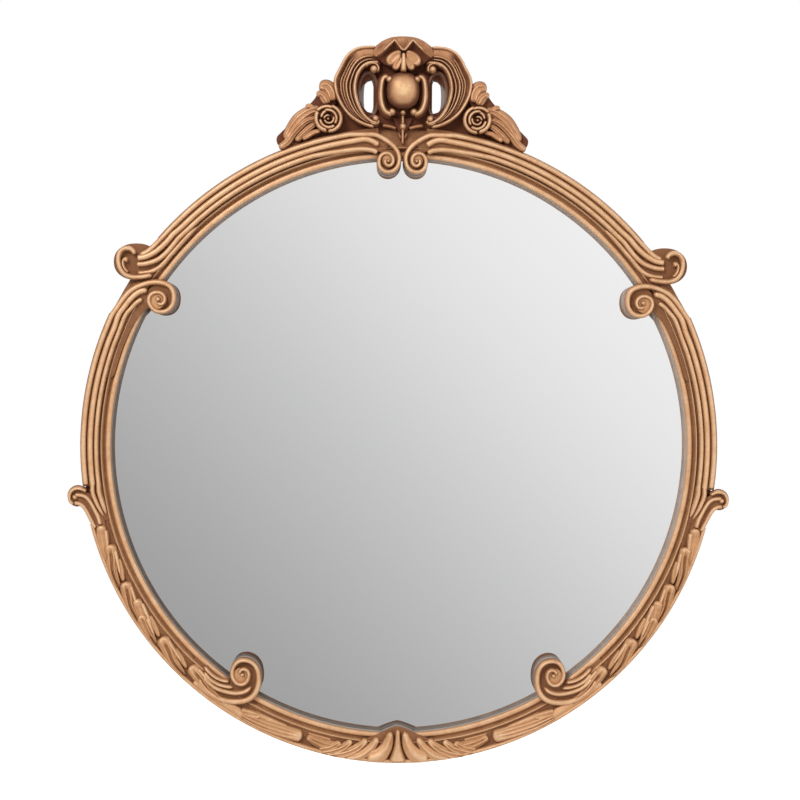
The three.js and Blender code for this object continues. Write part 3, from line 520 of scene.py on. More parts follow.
def gilding(name, dark, gold, bright, wash=0.9, metallic=0.26, bump=0.00025, reach=0.009):
    """A gilded finish with its own colours over the shared gilding group, which paints shade and highlight besides the
    wash and wear. Reach is how far shelter is felt, and shelter is painted as shade.
    """
    material, tree, shader = blank(name)
    # Ambient occlusion: the group paints shade where it finds shelter.
    shelter = node(tree, "AmbientOcclusion", {"Distance": reach}, samples=6).outputs["AO"]
    rubbed = bpy.data.node_groups.get("Gilding wash and painted shade") or wash_and_painted_shade_group()
    inputs = {"Dark": (*dark, 1), "Gold": (*gold, 1), "Bright": (*bright, 1), "Wash and shade": wash, "Open": shelter}
    made = node(tree, "Group", node_tree=rubbed)
    feed(tree, made.inputs, inputs)
    normal = raised(tree, made.outputs["Height"], bump, 0.5)
    colour, rough = made.outputs["Color"], made.outputs["Roughness"]
    feed(tree, shader, {"Base Color": colour, "Roughness": rough, "Metallic": metallic, "Normal": normal})
    return material


def speckled(name, dark, pale, scale, roughness, metallic=0.0, bump=0.0002, sheen=0.0):
    """A plain finish that wanders between two colours, for board, felt, foam and metal fittings."""
    material, tree, shader = blank(name)
    mottle, fine = noise(tree, scale, 5, 0.65, 0.2), noise(tree, scale * 6, 2, 0.5)
    level = calc(tree, "MULTIPLY_ADD", fine, 0.4, calc(tree, "MULTIPLY", mottle, 0.6))
    colour = blend(tree, between(tree, level, 0.3, 0.7), (*dark, 1), (*pale, 1))
    rough = calc(tree, "MULTIPLY_ADD", fine, 0.2, roughness - 0.1)
    feed(tree, shader, {"Base Color": colour, "Roughness": rough, "Metallic": metallic, "Sheen Weight": sheen})
    feed(tree, shader, {"Normal": raised(tree, level, bump)})
    return material


def silvered(name):
    """Mirror glass. Its colour is a painted reflection: a grey ramp, darker towards its lower left, over the plain
    white it reflects.
    """
    material, tree, shader = blank(name)
    axes = node(tree, "SeparateXYZ", {"Vector": node(tree, "TexCoord").outputs["Object"]}).outputs
    upwards = calc(tree, "MULTIPLY", calc(tree, "ADD", axes["Z"], -CENTRE_Z * MM), 0.72)
    slope = calc(tree, "MULTIPLY_ADD", axes["X"], 0.695, upwards)
    made = node(tree, "ValToRGB", {"Fac": calc(tree, "MULTIPLY_ADD", slope, 1 / 0.72, 0.5)})
    ramp = made.color_ramp
    ramp.interpolation = "B_SPLINE"
    painted_reflection_greys = (0.33, 0.45, 0.585, 0.765, 0.87)
    for step in (0.25, 0.5, 0.75):
        ramp.elements.new(step)
    for number, grey in enumerate(painted_reflection_greys):
        ramp.elements[number].position = number / (len(painted_reflection_greys) - 1)
        ramp.elements[number].color = (grey, grey, grey * 1.005, 1)
    feed(tree, shader, {"Base Color": made.outputs["Color"], "Metallic": 1.0, "Roughness": 0.03})
    return material


# ---- Settings ------------------------------------------------------------------------------------


def colour_setting(name, description, default):
    return bpy.props.FloatVectorProperty(
        name=name, description=description, subtype="COLOR", size=3, min=0, max=1, default=default
    )


def length_setting(name, description, default, low, high):
    return bpy.props.FloatProperty(name=name, description=description, default=default, min=low, max=high)


class GiltMirrorFinish(bpy.types.PropertyGroup):
    """Colours of the finishes."""

    gold: colour_setting("Gold", "Gold of the swells", (0.55, 0.285, 0.13))
    # Bright gold on the crowns: partly rubbed wear, partly painted highlight.
    bright: colour_setting("Bright gold", "Gold rubbed bright on the crowns", (0.69, 0.435, 0.25))
    # Dark of the wash, also the colour of painted shade in low and sheltered places.
    dark: colour_setting("Wash and shade", "Dark wash in the hollows", (0.2, 0.075, 0.026))
    # The same in the crest: darker wash and painted shade.
    crest_dark: colour_setting("Crest wash", "Darker wash in the crest", (0.13, 0.034, 0.011))
    crest_gold: colour_setting("Crest gold", "Gold of the crest's swells", (0.47, 0.225, 0.1))
    boss_gold: colour_setting("Boss gold", "Gold of the boss", (0.50, 0.26, 0.12))
    # Painted highlight on the boss's crown, together with its wear.
    boss_bright: colour_setting("Boss highlight", "Rubbed crown of the boss", (0.72, 0.46, 0.24))
    ground: colour_setting("Crest ground", "Gold in the crest's hollow fields", (0.2, 0.075, 0.028))
    board: colour_setting("Board", "Pressed board that closes the back", (0.3, 0.19, 0.1))
    brass: colour_setting("Brass", "Turn buttons and hangers", (0.6, 0.42, 0.17))


class GiltMirrorShape(bpy.types.PropertyGroup):
    """Sizes of the carving."""

    reed_width: length_setting("Reed width", "Width of one reed, mm", 7.3, 4.0, 7.5)
    ridge_width: length_setting("Ridge width", "Width of the ridge that winds in a volute, mm", 6.0, 3.0, 9.0)
    glass_rise: length_setting("Glass rise", "How far the glass swells in its middle, mm", 24.0, 1.0, 60.0)
    segments: bpy.props.IntProperty(
        name="Segments", description="Steps round the turned ring", default=512, min=64, max=1024
    )


MATERIALS = {}


def finish(look):
    """The finish of that name, made on first use from the scene's settings."""
    if look in MATERIALS:
        return MATERIALS[look]
    s = bpy.context.scene.gilt_mirror_finish
    dull_board, dull_brass = ([c * part for c in colour] for colour, part in ((s.board, 0.7), (s.brass, 0.6)))
    make, *values = {
        "gilding": (gilding, "Gilding", s.dark, s.gold, s.bright),
        "crest": (gilding, "Crest gilding", s.crest_dark, s.crest_gold, s.bright, 1.0, 0.26, 0.00025, 0.014),
        "boss": (gilding, "Boss gilding", s.crest_dark, s.boss_gold, s.boss_bright),
        "ground": (gilding, "Crest ground", s.crest_dark, s.ground, s.crest_gold, 0.9, 0.4, 0.0004),
        "glass": (silvered, "Silvered glass"),
        "board": (speckled, "Pressed board", dull_board, s.board, 60, 0.8),
        "brass": (speckled, "Dull brass", dull_brass, s.brass, 180, 0.34, 1.0, 0.00003),
        "steel": (speckled, "Zinc plate", (0.36, 0.36, 0.38), (0.62, 0.62, 0.63), 140, 0.38, 1.0, 0.00003),
        "felt": (speckled, "Wool felt", (0.03, 0.018, 0.01), (0.1, 0.06, 0.04), 500, 0.95, 0.0, 0.0006, 0.4),
        "foam": (speckled, "Spacer foam", (0.015,) * 3, (0.05,) * 3, 700, 0.95, 0.0, 0.0003),
    }[look]
    MATERIALS[look] = make(*values)
    return MATERIALS[look]


def shape():
    return bpy.context.scene.gilt_mirror_shape


# ---- Operators: one for each piece or group of like pieces ---------------------------------------


class GILTMIRROR_OT_ring(bpy.types.Operator):
    """Turned ring with its sight edge, rounded lip and hollow."""

    bl_idname = "gilt_mirror.ring"
    bl_label = "Turned ring"

    def execute(self, context):
        a = np.linspace(0, 1, 33)
        bead_edge, bead_at, rabbet, seat = SIGHT + 6.4, 368.0, 365.5, 20.0
        middle, half = (SIGHT + bead_edge) / 2, (bead_edge - SIGHT) / 2
        lip = zip(middle - half * np.cos(math.pi * a), FACE + 2.2 + 3.0 * np.sin(math.pi * a) ** 0.6)
        across = lerp(bead_edge, REED_INNER + 1, a)[1:]
        crest = np.exp(-(((across - bead_at) / 1.7) ** 2))
        hollow = FACE + 1.2 + 7.6 * crest + np.exp(-(((across - bead_edge) / 1.2) ** 2))
        hollow += 5.0 * np.clip((across - bead_at - 1.2) / 1.6, 0, 1)
        profile = [(rabbet, RING_BACK + 0.4), (rabbet, seat), (SIGHT, seat), *lip, *zip(across, hollow), (391, FACE)]
        profile += [(391, RING_BACK + 1), (390.6, RING_BACK + 0.3), (390, RING_BACK), (rabbet + 0.4, RING_BACK)]
        # High values across the profile: painted highlight on the lip and bead, painted shade in the hollow, with the
        # wash.
        swell = lerp(0.35, 0.95, np.sin(math.pi * a) ** 0.7)
        fall = 0.1 + crest + 0.25 * np.exp(-(((across - bead_edge) / 1.5) ** 2))
        ring = turned(profile, shape().segments, [0, 0, 0.1, *swell, *fall, *[0.1] * 5])
        return piece("turned_ring", [ring], "gilding", "base_ring", smooth=40)


class GILTMIRROR_OT_glass(bpy.types.Operator):
    """Domed mirror glass."""

    bl_idname = "gilt_mirror.glass"
    bl_label = "Domed glass"

    def execute(self, context):
        rise, radius, edge, thick = shape().glass_rise, 365.2, 19.7, 4.0
        sphere = (SIGHT**2 + rise**2) / (2 * rise)
        r = np.linspace(0, radius, 60)
        front = edge + rise - sphere + np.sqrt(sphere**2 - r**2)
        dome = spun([*zip(r, front - thick), *zip(r[::-1], front[::-1])])
        return piece("domed_glass", [dome], "glass", "mirror_glass", smooth=40)


class GILTMIRROR_OT_upper_arches(bpy.types.Operator):
    """Three reeds that wind into a volute beside the crest and flare into a hook lower down."""

    bl_idname = "gilt_mirror.upper_arches"
    bl_label = "Upper arches"

    def execute(self, context):
        outer, middle, inner = REEDS
        coil = [(33.5, 384), (22.5, 378.5), (13, 372), (7.5, 365.5), (4.4, 359), (4, 352), (6, 345), (11, 340)]
        coil += [(17.5, 338.2), (23.5, 339.8), (27.8, 344.5), (29, 351), (27.2, 357.5), (22.5, 361.2), (16.5, 361)]
        coil += [(12.3, 357), (11.2, 351.5), (13.2, 346.8), (17.3, 345.2), (21, 347.3), (22, 351.5), (20, 354.5)]
        hook = [(305.5, 210), (314.5, 208), (322, 207.2), (331, 207.5), (339, 211), (344.5, 218.5), (346.5, 227.5)]
        hook += [(345.5, 235.5), (341, 241), (334.5, 242), (329, 239.5), (326.5, 234.5)]
        hook_tip = [(334.5, 229), (338, 230), (341, 227), (341, 222), (338.5, 216.5), (334.5, 212.5)]
        outer_end = [place(48.2, outer), (301, 247.5), (308.5, 240.5), (315.5, 236), (322, 234.5)]
        middle_start = [(29.5, 371), (36, 375.4), place(7, middle + 0.4), place(9.5, middle)]
        middle_end = [(280.5, 259.5), (289, 249.5), (297.5, 241.5), (305.5, 236), (314, 232), (324, 230.2)]
        inner_start = [(30.5, 361.5), (37, 365), place(8.5, 370), place(14, 372)]
        inner_end = [(273.5, 255.5), (283, 243.5), (291, 234.7), (298.5, 229), (306, 225.8), (315, 223.4)]
        inner_end += [(324.5, 222.8)]
        lip_end = [(275, 244.5), (284.5, 233.8), (291.5, 225), (298.5, 218.6), (306, 214.7), (314.5, 212.8), (324, 212)]
        low = FOOT + 4
        top = joined(arc(outer, 46, 9.5), coil, times=10)
        shells = [
            band(REED_INNER, EDGE - 0.3, 4.4, 49.5, (VALLEY, VALLEY), 0.05),
            reed(joined(arc(outer, 45.8, 47.4), outer_end), base=low, start=0, end=6),
            reed(joined(middle_start, arc(middle, 10, 45), middle_end), width=MIDDLE_REED),
            reed(joined(inner_start, arc(inner, 17, 44.5), inner_end), width=6.4),
            reed(joined(arc(368.6, 42.5, 45), lip_end), 38.5, low, 6.5, start=22, end=3),
            volute(top, ([0, 0.68, 0.78, 1], [7.3, 7.0, 6.0, 5.2]), [0, 0.7, 0.85, 1]),
            disc((16.8, 351.5), 14.8, VALLEY - 0.5),
            ledge([(62, 377.5), (46, 378.5), (32, 374.5), (19, 367)], 16.5, VALLEY),
            filling((17.5, 352), 7.5, 8),
            bead((17.5, 351.5), 3.0, VOLUTE_FLOOR - 3, VOLUTE_CROWN + 1),
            slab(egg((325, 226), 28, 22.5, 2.2), FOOT, 33.5, 1.2, 0.0),
            wound(hook, base=FOOT + 5, width=6.6, start=5, end=3),
            wound(hook_tip, VOLUTE_CROWN - 2, VALLEY - 2, 4.2),
            bead((337.5, 228), 2.9, VALLEY, VOLUTE_CROWN - 0.5),
        ]
        return pair("upper_arch", shells)


class GILTMIRROR_OT_side_scrolls(bpy.types.Operator):
    """Three reeds along the side, with a volute over the glass at the top."""

    bl_idname = "gilt_mirror.side_scrolls"
    bl_label = "Side scrolls"

    def execute(self, context):
        outer, middle, inner = REEDS
        coil = [(354.5, 160.5), (346.5, 172), (339.5, 182), (332, 190), (323.5, 195.5), (314.5, 199), (305.5, 201)]
        coil += [(296.5, 201), (288.5, 199), (282.5, 195), (279.5, 188.5), (279, 180.5), (280.8, 173), (286, 167)]
        coil += [(293.5, 164.8), (301, 166), (306.5, 171), (309.5, 177.5), (308.5, 184), (304, 188), (298, 189)]
        coil += [(292.5, 187), (289.5, 182), (290.5, 176), (295, 173.5), (299, 176)]
        middle_end = [place(67.5, middle - 0.5), (346.5, 160.5), (339.5, 170.5), (333, 179), (326.5, 185.5)]
        middle_end += [(319.5, 190), (311, 191.5)]
        inner_end = [place(68.5, inner - 0.3), (338.5, 159.5), (331, 169), (324, 176.5), (317, 181)]
        outer_ground = [(367, 116), (353.5, 149), (343.5, 171), (331.5, 188.5), (315.5, 197.5)]
        inner_ground = [place(77, 374), place(70, 373), (336, 158), (322, 174), (308, 186)]
        top = joined(arc(outer, 97.2, 68), coil, times=8)
        shells = [
            band(REED_INNER, EDGE - 0.3, 65.5, 97.4, (VALLEY, VALLEY), 0.05),
            disc((294.5, 182.5), 18.2, VALLEY - 0.5),
            ledge(outer_ground, 14, VALLEY - 0.4, 0.12),
            ledge(inner_ground, 22, VALLEY - 0.8),
            reed(joined(arc(middle, 97.25, 70), middle_end), width=MIDDLE_REED, start=0, end=4),
            reed(joined(arc(inner, 97.2, 70.5), inner_end), width=INNER_REED, start=0, end=3),
            volute(top, ([0, 0.6, 0.72, 1], [7.3, 7.0, 6.8, 5.2]), [0, 0.62, 0.8, 1], start=2),
            filling((299, 178), 9.5, 10),
            bead((298, 180.5), 4.2, VOLUTE_FLOOR - 3, VOLUTE_CROWN + 1.2),
        ]
        return pair("side_scroll", shells)


class GILTMIRROR_OT_ears(bpy.types.Operator):
    """Small hooks that spring from the band and curl down outside it."""

    bl_idname = "gilt_mirror.ears"
    bl_label = "Ear scrolls"

    def execute(self, context):
        _, middle, inner = REEDS
        low = FOOT + 4
        stem = [(368, -98), (371, -88), (375, -79.5), (379.5, -71), (384, -65), (390, -61.5), (400, -60.5)]
        outside = [(374, -102), (379.5, -91.5), (384, -82.5), (388.5, -75.5), (394, -71.5), (401, -70.5)]
        curl = [(385, -56.5), (391, -53.5), (398, -53), (403.5, -56), (406, -62), (405, -68.5), (400.5, -72)]
        middle_end = [place(97.1, middle), (377.5, -58), (373.5, -69), (368.5, -79.5), (364, -88)]
        inner_end = [place(97.1, inner), (370, -57), (366.8, -68), (363.5, -78), (361, -86)]
        shells = [
            slab(egg((397, -62.5), 12, 13), FOOT, VALLEY, 1.2, 0.1),
            ledge([(368, -104), (371.5, -92), (377, -79), (384, -67), (393, -62)], 15, VALLEY, 0.1, 1),
            band(REED_INNER - 2, 384, 97.3, 104.3, (VALLEY - 2, VALLEY - 1), 0.02),
            reed(middle_end, base=low, start=0, end=22),
            reed(inner_end, base=low, start=0, end=22),
            reed(stem, base=low, width=6.4),
            reed(outside, REED_CROWN - 1, FOOT + 3, 6.4),
            wound(curl, REED_CROWN + 0.5, low, 5.2),
            bead((399.5, -63.5), 3.4, VALLEY, REED_CROWN + 1),
        ]
        return pair("ear_scroll", shells)


def spoon(turn, inset, length, width, root_inset=6.0):
    """One unit of the swag: a leaf with a raised rim and a blunt tip that curls in from the outer edge, and the
    narrow leaf that lies inside it."""
    width *= 1.12
    reach = turn + length * 0.62
    body = [(turn + length, root_inset), (reach, root_inset + 1.5), (turn + length * 0.3, inset - 3.5), (turn, inset)]
    side = [(turn + length * 0.75, inset - 2), (turn + length * 0.45, inset + 1.2), (turn + length * 0.16, inset + 3.6)]
    flutes = 3 if width > 14 else 2
    return [
        petal(on_band(body), [5, width * 0.75, width, width], 42, 33, 5.5, 10, (0, 1), flutes, 0.34, 0.3),
        petal(on_band(side), [3, 6.0, 6.2], 39.5, 32, 2.8, 8, (0.05, 1)),
    ]


class GILTMIRROR_OT_leaf_swags(bpy.types.Operator):
    """Overlapping leaves that climb the band from the lower volute to the ear."""

    bl_idname = "gilt_mirror.leaf_swags"
    bl_label = "Leaf swags"

    def execute(self, context):
        shells = [band(REED_INNER, EDGE - 0.5, 104.4, 136, (FACE + 3, FACE + 5), 0.02)]
        for stop in (
            (128.9, 17.0, 8.4, 16),
            (123.2, 13.0, 6.5, 13),
            (120.2, 18.0, 8.0, 12),
            (116.4, 16.0, 7.5, 15),
            (108.8, 16.5, 8.5, 15),
            (104.9, 13.5, 7.0, 12),
        ):
            shells += spoon(*stop)
        for turn, inset in ((133.4, 17.5), (125.6, 18.5), (113.2, 18.0)):
            bud = on_band([(turn + 3.2, inset - 4), (turn + 1.2, inset - 1), (turn - 1.4, inset + 1.5)])
            shells.append(petal(bud, [5, 10, 9], 37, 31, 4, 5, (0.05, 0.7)))
        second = arc(EDGE - 8.2, 104.5, 136.1)
        shells += [rim(104.4, 136.2), carried(second, 5.5, 36.4, FOOT + 3, 0.6, 14, 1, 1, (0, 0.75))]
        return pair("leaf_swag", shells)


class GILTMIRROR_OT_bottom_volutes(bpy.types.Operator):
    """Volutes that wind in over the lower part of the glass."""

    bl_idname = "gilt_mirror.bottom_volutes"
    bl_label = "Bottom volutes"

    def execute(self, context):
        coil = [(247, -287), (242.5, -297), (233, -306), (221.3, -312.8), (207.9, -316.2), (193, -315.8), (183, -312)]
        coil += [(176.6, -305), (173.2, -296), (172.6, -286), (174.5, -276), (180, -268.3), (188.8, -264.6)]
        coil += [(197.5, -266), (203.3, -272), (205.4, -280.3), (203.6, -288), (198.8, -293.2), (192.8, -294.2)]
        coil += [(187.5, -290.8), (184.8, -284), (186, -278), (190.5, -275.2), (195, -277), (196.2, -281)]
        ground = [(246, -276), (238, -288), (226, -298), (210, -304), (194, -305), (183, -300), (178, -291)]
        outer = [(240.6, -283.5), (236.5, -291), (226, -299.2), (213.5, -303.8), (200, -305.8), (188.8, -303.2)]
        outer += [(181, -297)]
        middle = [(240.5, -279.5), (233, -288.6), (223.6, -294.6), (213.5, -297.6), (203, -298.4)]
        inner = [(240, -273.5), (233.5, -281), (226, -286.8), (217, -290.6), (208, -291.6)]
        smooth_leaf = on_band([(150.9, 7.5), (146, 8.6), (142, 8.5), (139, 7)])
        widths, low = ([0, 0.45, 0.6, 1], [8.0, 7.4, 6.0, 5.4]), FOOT + 4
        shells = [
            band(362, EDGE - 0.5, 136.2, 150.1, (FACE + 4.5, FACE + 6.5), 0.05),
            disc((190.5, -283), 18.2, VALLEY - 1),
            ledge(ground, 21, VALLEY - 1, end=2),
            volute(through(coil), widths, [0, 0.4, 0.6, 1], 39.5, VALLEY - 1, 8),
            reed(outer, base=low, width=6.8, start=6, end=8),
            reed(middle, REED_CROWN - 1, low, 6.0, start=5, end=6),
            reed(inner, REED_CROWN - 2.5, low, 5.2, start=5, end=4),
            filling((194.5, -283.5), 9.5, 10),
            bead((192.6, -282.2), 3.4, VALLEY, VOLUTE_CROWN + 1),
            *spoon(136.6, 19.0, 9.5, 14.5, 9.0),
            petal(smooth_leaf, [14, 14, 12, 9], 38.8, 33.5, 5, 6, (0.3, 0.85), 2, 0.12),
            rim(136.1, 150.2),
        ]
        return pair("bottom_volute", shells)


class GILTMIRROR_OT_bottom_rails(bpy.types.Operator):
    """Low leaves that lead to the middle of the bottom."""

    bl_idname = "gilt_mirror.bottom_rails"
    bl_label = "Bottom rails"

    def execute(self, context):
        broad_leaf = [(149.7, 8), (154, 9.5), (158, 12), (161.8, 14.5)]
        leaves = [
            ([(149.4, 11), (151.3, 14.5), (153.2, 18)], [12, 12, 7], 40, 33, 5, 1, (0.1, 1), 0, 0, 0.3),
            ([(149.7, 8), (153, 8.5), (156.5, 14.5)], [10, 11, 5], 37.5, 32, 3, 1, (0.05, 0.85), 3, 0.35),
            (broad_leaf, [12, 17, 19, 17], 40.5, 33, 5.5, 1, (0.05, 1), 4, 0.3),
            ([(151.6, 17.5), (155, 18.6), (158.6, 20)], [8, 8, 4], 37.5, 32, 3, 3, (0.05, 0.9)),
            ([(168, 11), (165.5, 12.5), (162.6, 16)], [17, 15, 9], 37.5, 32, 3, 1, (0, 0.8), 3, 0.45),
            ([(167.2, 20), (164.5, 20.5), (162.6, 20.5)], [4, 3.5, 3], 35, 31, 3, 1, (0.1, 0.7)),
        ]
        shells = [band(REED_INNER, EDGE - 0.5, 150.3, 167, (FACE + 3, FACE + 5), 0.02)]
        shells += [petal(on_band(stops), *sizes) for stops, *sizes in leaves]
        return pair("bottom_rail", [*shells, rim(150.1, 167.2, 38.0)])


class GILTMIRROR_OT_base_leaf(bpy.types.Operator):
    """Palmette at the bottom of the frame."""

    bl_idname = "gilt_mirror.base_leaf"
    bl_label = "Base leaf"

    def execute(self, context):
        fourth = [(66, -387), (48, -384), (34.5, -375), (24.5, -361.5)]
        wedge = [(38, -388.5), (24, -384), (14.8, -374.5), (10.6, -364), (8.6, -354)]
        leaves = [
            ([(97, -378), (86, -375.5), (78, -372), (70.5, -367)], [16, 15, 12, 8], 38.5, 33, 3, 1, (0, 0.95), 3, 0.4),
            ([(99, -381.5), (84, -380), (68, -374.5), (57, -364.5)], [14, 15, 13, 8], 39.5, 33, 4, 10, (0, 1), 3, 0.35),
            ([(88, -384.5), (67, -382), (50.5, -375), (38, -363.5)], [12, 15, 14, 9], 40.5, 33, 4, 10, (0, 1), 3, 0.3),
            (fourth, [12, 14, 13, 8], 41.5, 33.5, 4, 8, (0, 1), 2, 0.25),
            (wedge, [26, 23, 19, 14, 8], 42.5, 34, 4, 8, (0, 1), 2, 0.2),
        ]
        right = [petal(*sizes) for sizes in leaves]
        half_arch = [(-42, -364), (-33, -360.5), (-23, -356.5), (-12, -351.5)]
        arch = through([*half_arch, (0, -348), *((-x, z) for x, z in half_arch[::-1])])
        spine = np.array([(0, -390), (0, -384), (0, -375), (0, -362), (0, -351)])
        shells = [
            band(REED_INNER, EDGE - 0.5, 167.2, 192.8, (FACE + 3, FACE + 5), 0.02),
            slab([*arch, (40, -376), (-40, -376)], 21.3, 33.5, 1.0, 0.1),
            *right,
            *(leaf.mirrored() for leaf in right),
            petal(spine, [23, 15, 9, 6.5, 6], 44, 34.5, 3, 1, keel=0.12),
            rim(167.1, 192.9, 38.6),
        ]
        return piece("carved_base_leaf", shells, "gilding", "base_leaf")


class GILTMIRROR_OT_c_scrolls(bpy.types.Operator):
    """The two C-scrolls of the crest, each with a bead at both inner ends, and the sloping lining of the piercing."""

    bl_idname = "gilt_mirror.c_scrolls"
    bl_label = "C-scrolls"

    def execute(self, context):
        steps = 140
        outer = [(31, 491), (43, 491.5), (55, 490), (65, 485), (72, 477), (77, 467.5), (81.5, 459.5), (84.5, 452.5)]
        outer += [(85, 444), (83, 433.5), (78.5, 423), (72, 413), (63, 404.5), (53, 398.5), (43, 394.8), (32, 392.8)]
        inner = [(27, 468), (35, 468.5), (43, 467), (50, 461), (54.5, 452), (56, 440), (54.5, 428), (51, 417)]
        inner += [(46.5, 408.5), (41, 402.5), (34.5, 399), (28, 398)]
        outer, inner = (resampled(through(line, 0.6), steps) for line in (outer, inner))
        v, t = np.linspace(0, 1, 64), np.linspace(0, 1, steps)[:, None]
        at = [0, 0.03, 0.1, 0.2, 0.3, 0.42, 0.5, 0.6, 0.7, 0.8, 0.88, 0.96, 1]
        up = [5, 11, 11.5, 8.5, 7.5, 8.5, 10.5, 10.5, 10, 11, 13.5, 12, 6]
        shade = [0.1, 0.3, 0.3, 0.12, 0.18, 0.25, 0.3, 0.2, 0.12, 0.15, 0.3, 0.2, 0]
        line, tone = (
            np.convolve(np.pad(np.interp(v, at, values), 1, mode="edge"), [0.25, 0.5, 0.25], mode="valid")
            for values in (up, shade)
        )
        flat = np.clip((0.26 - t) / 0.08, 0, 1) * np.exp(-(((v - 0.32) / 0.26) ** 4))
        ends = np.sqrt(np.clip(1 - (1 - np.clip(np.minimum(t, 1 - t) / 0.02, 0, 1)) ** 2, 0.05, 1))
        height = FOOT + (FACE + lerp(line, 14.0, flat) - FOOT) * ends
        x, z = (lerp(outer[:, i, None], inner[:, i, None], v) for i in (0, 1))
        shells = [closed(x, height, z, lerp(tone, 0.55, flat), FOOT)]
        wide, narrow = egg((42.5, 432.5), 11.5, 27.5, 2.2), egg((41.6, 432.5), 6.2, 21.5, 2.4)
        lip, foot = egg((42.5, 432.5), 13.5, 29.5, 2.2), egg((41.8, 432.5), 9, 25.5, 2.2)
        lines = np.stack([lip, wide, (wide + narrow) / 2, narrow, foot, lip], axis=1)
        grid = grid_of(lines[..., 0], [FACE + 6, FACE + 6.5, 21, 9.5, 9, 9.5], lines[..., 1])
        shells.append(Shell(grid, [0.1, 0.2, 0.3, 0.3, 0.2, 0.1], True, [0, 0.1, 0.8, 1, 1, 0.3]))
        for across, width, crown, reach in (
            (0.075, 4.6, 17.5, 3),
            (0.3, 3.0, 9.8, 20),
            (0.42, 3.0, 11.0, 20),
            (0.54, 3.4, 15.0, 14),
            (0.7, 3.2, 14.6, 14),
            (0.885, 4.8, 19.5, 2),
        ):
            streak = evenly_spaced(lerp(outer, inner, across)[3:-3], 0.9)
            shells.append(carried(streak, width, FACE + crown, FACE + 7, 0.75, 16, reach, reach, (0, 1)))
        upper_curl = [(47, 466.5), (41, 470), (34, 469.5), (30.5, 465), (31.5, 459.5)]
        shells += [
            wound(upper_curl, FACE + 19, FOOT + 5, 4.4),
            wound([(41, 399.5), (36, 396.8), (31, 398), (29, 402)], FACE + 18, FOOT + 5, 4.0),
            bead((35.8, 463.2), 4.8, FACE + 12, FACE + 21.5),
            bead((33.4, 403), 4.3, FACE + 12, FACE + 21.5),
        ]
        return pair("c_scroll", shells, "crest")


class GILTMIRROR_OT_shell(bpy.types.Operator):
    """Shell over the middle of the crest, with a three-lobed leaf that hangs in it."""

    bl_idname = "gilt_mirror.shell"
    bl_label = "Crest shell"

    def execute(self, context):
        steps = 200
        rim_side = [(-38, 481), (-36.5, 489), (-31, 494.5), (-24, 499.5), (-13, 503.5)]
        root_side = [(-29, 474), (-24, 470), (-14, 466)]
        top, root = (
            resampled(through([*side, middle, *((-x, z) for x, z in side[::-1])], 0.6), steps)
            for side, middle in ((rim_side, (0, 504.5)), (root_side, (0, 464.5)))
        )
        v = np.linspace(0, 1, 40)
        x, z = (lerp(root[:, i, None], top[:, i, None], v) for i in (0, 1))
        crease_x = [-40, -25.5, -11, -1.5, 1.5, 11, 25.5, 40]
        crease_z = [474, 483.5, 497.5, 485.5, 485.5, 497.5, 483.5, 474]
        gap = z - np.interp(x, crease_x, crease_z)
        ridge, above = np.exp(-((gap / 1.7) ** 2)), np.clip(gap / 6, 0, 1)
        height = FACE + 13 + 6 * np.clip((z - 466) / 30, 0, 1) + 4.6 * ridge - above
        height += 0.8 * np.cos(x / 2.6) * above - 2.0 * np.clip(-gap / 8, 0, 1)
        height = FOOT + (height - FOOT) * np.sqrt(np.clip(1 - v**22, 0, 1)) ** 0.8
        height[:, -1] = FOOT + 1
        # High value: painted highlight on the zigzag ridge and painted shade below it, with the wash.
        high = np.clip(0.3 + 0.5 * ridge + 0.14 * above - 0.4 * np.clip(-gap / 6, 0, 1), 0, 1)
        crease = joined(np.stack([crease_x, crease_z], axis=-1)[1:-1], pitch=0.8, times=3)
        shells = [
            closed(x, height, z, high, FOOT),
            carried(crease, 3.4, FACE + 26, FACE + 16, 0.8, 14, 6, 6, (0.1, 1)),
        ]
        for side in (-1, 1):
            for path, widths, lift in (
                ([(2, 480.5), (6.5, 480), (12.5, 475.5), (19, 468)], [9, 15, 16, 11], 27),
                ([(1.5, 478), (4.5, 473.5), (8, 467.5), (11, 461.5)], [7, 10, 12, 9], 28),
            ):
                path = [(side * a, b) for a, b in path]
                shells.append(petal(path, widths, FACE + lift, FACE + 16, 4.5, 3, (0.1, 1), 1, 0.3))
        stalk = np.array([(0, 482.5), (0, 474), (0, 466), (0, 458.5)])
        shells.append(petal(stalk, [5, 6.5, 8.5, 8.5], FACE + 29.5, FACE + 14, 4, 3, (0.3, 1)))
        return piece("carved_crest_shell", shells, "crest", "crest_shell")


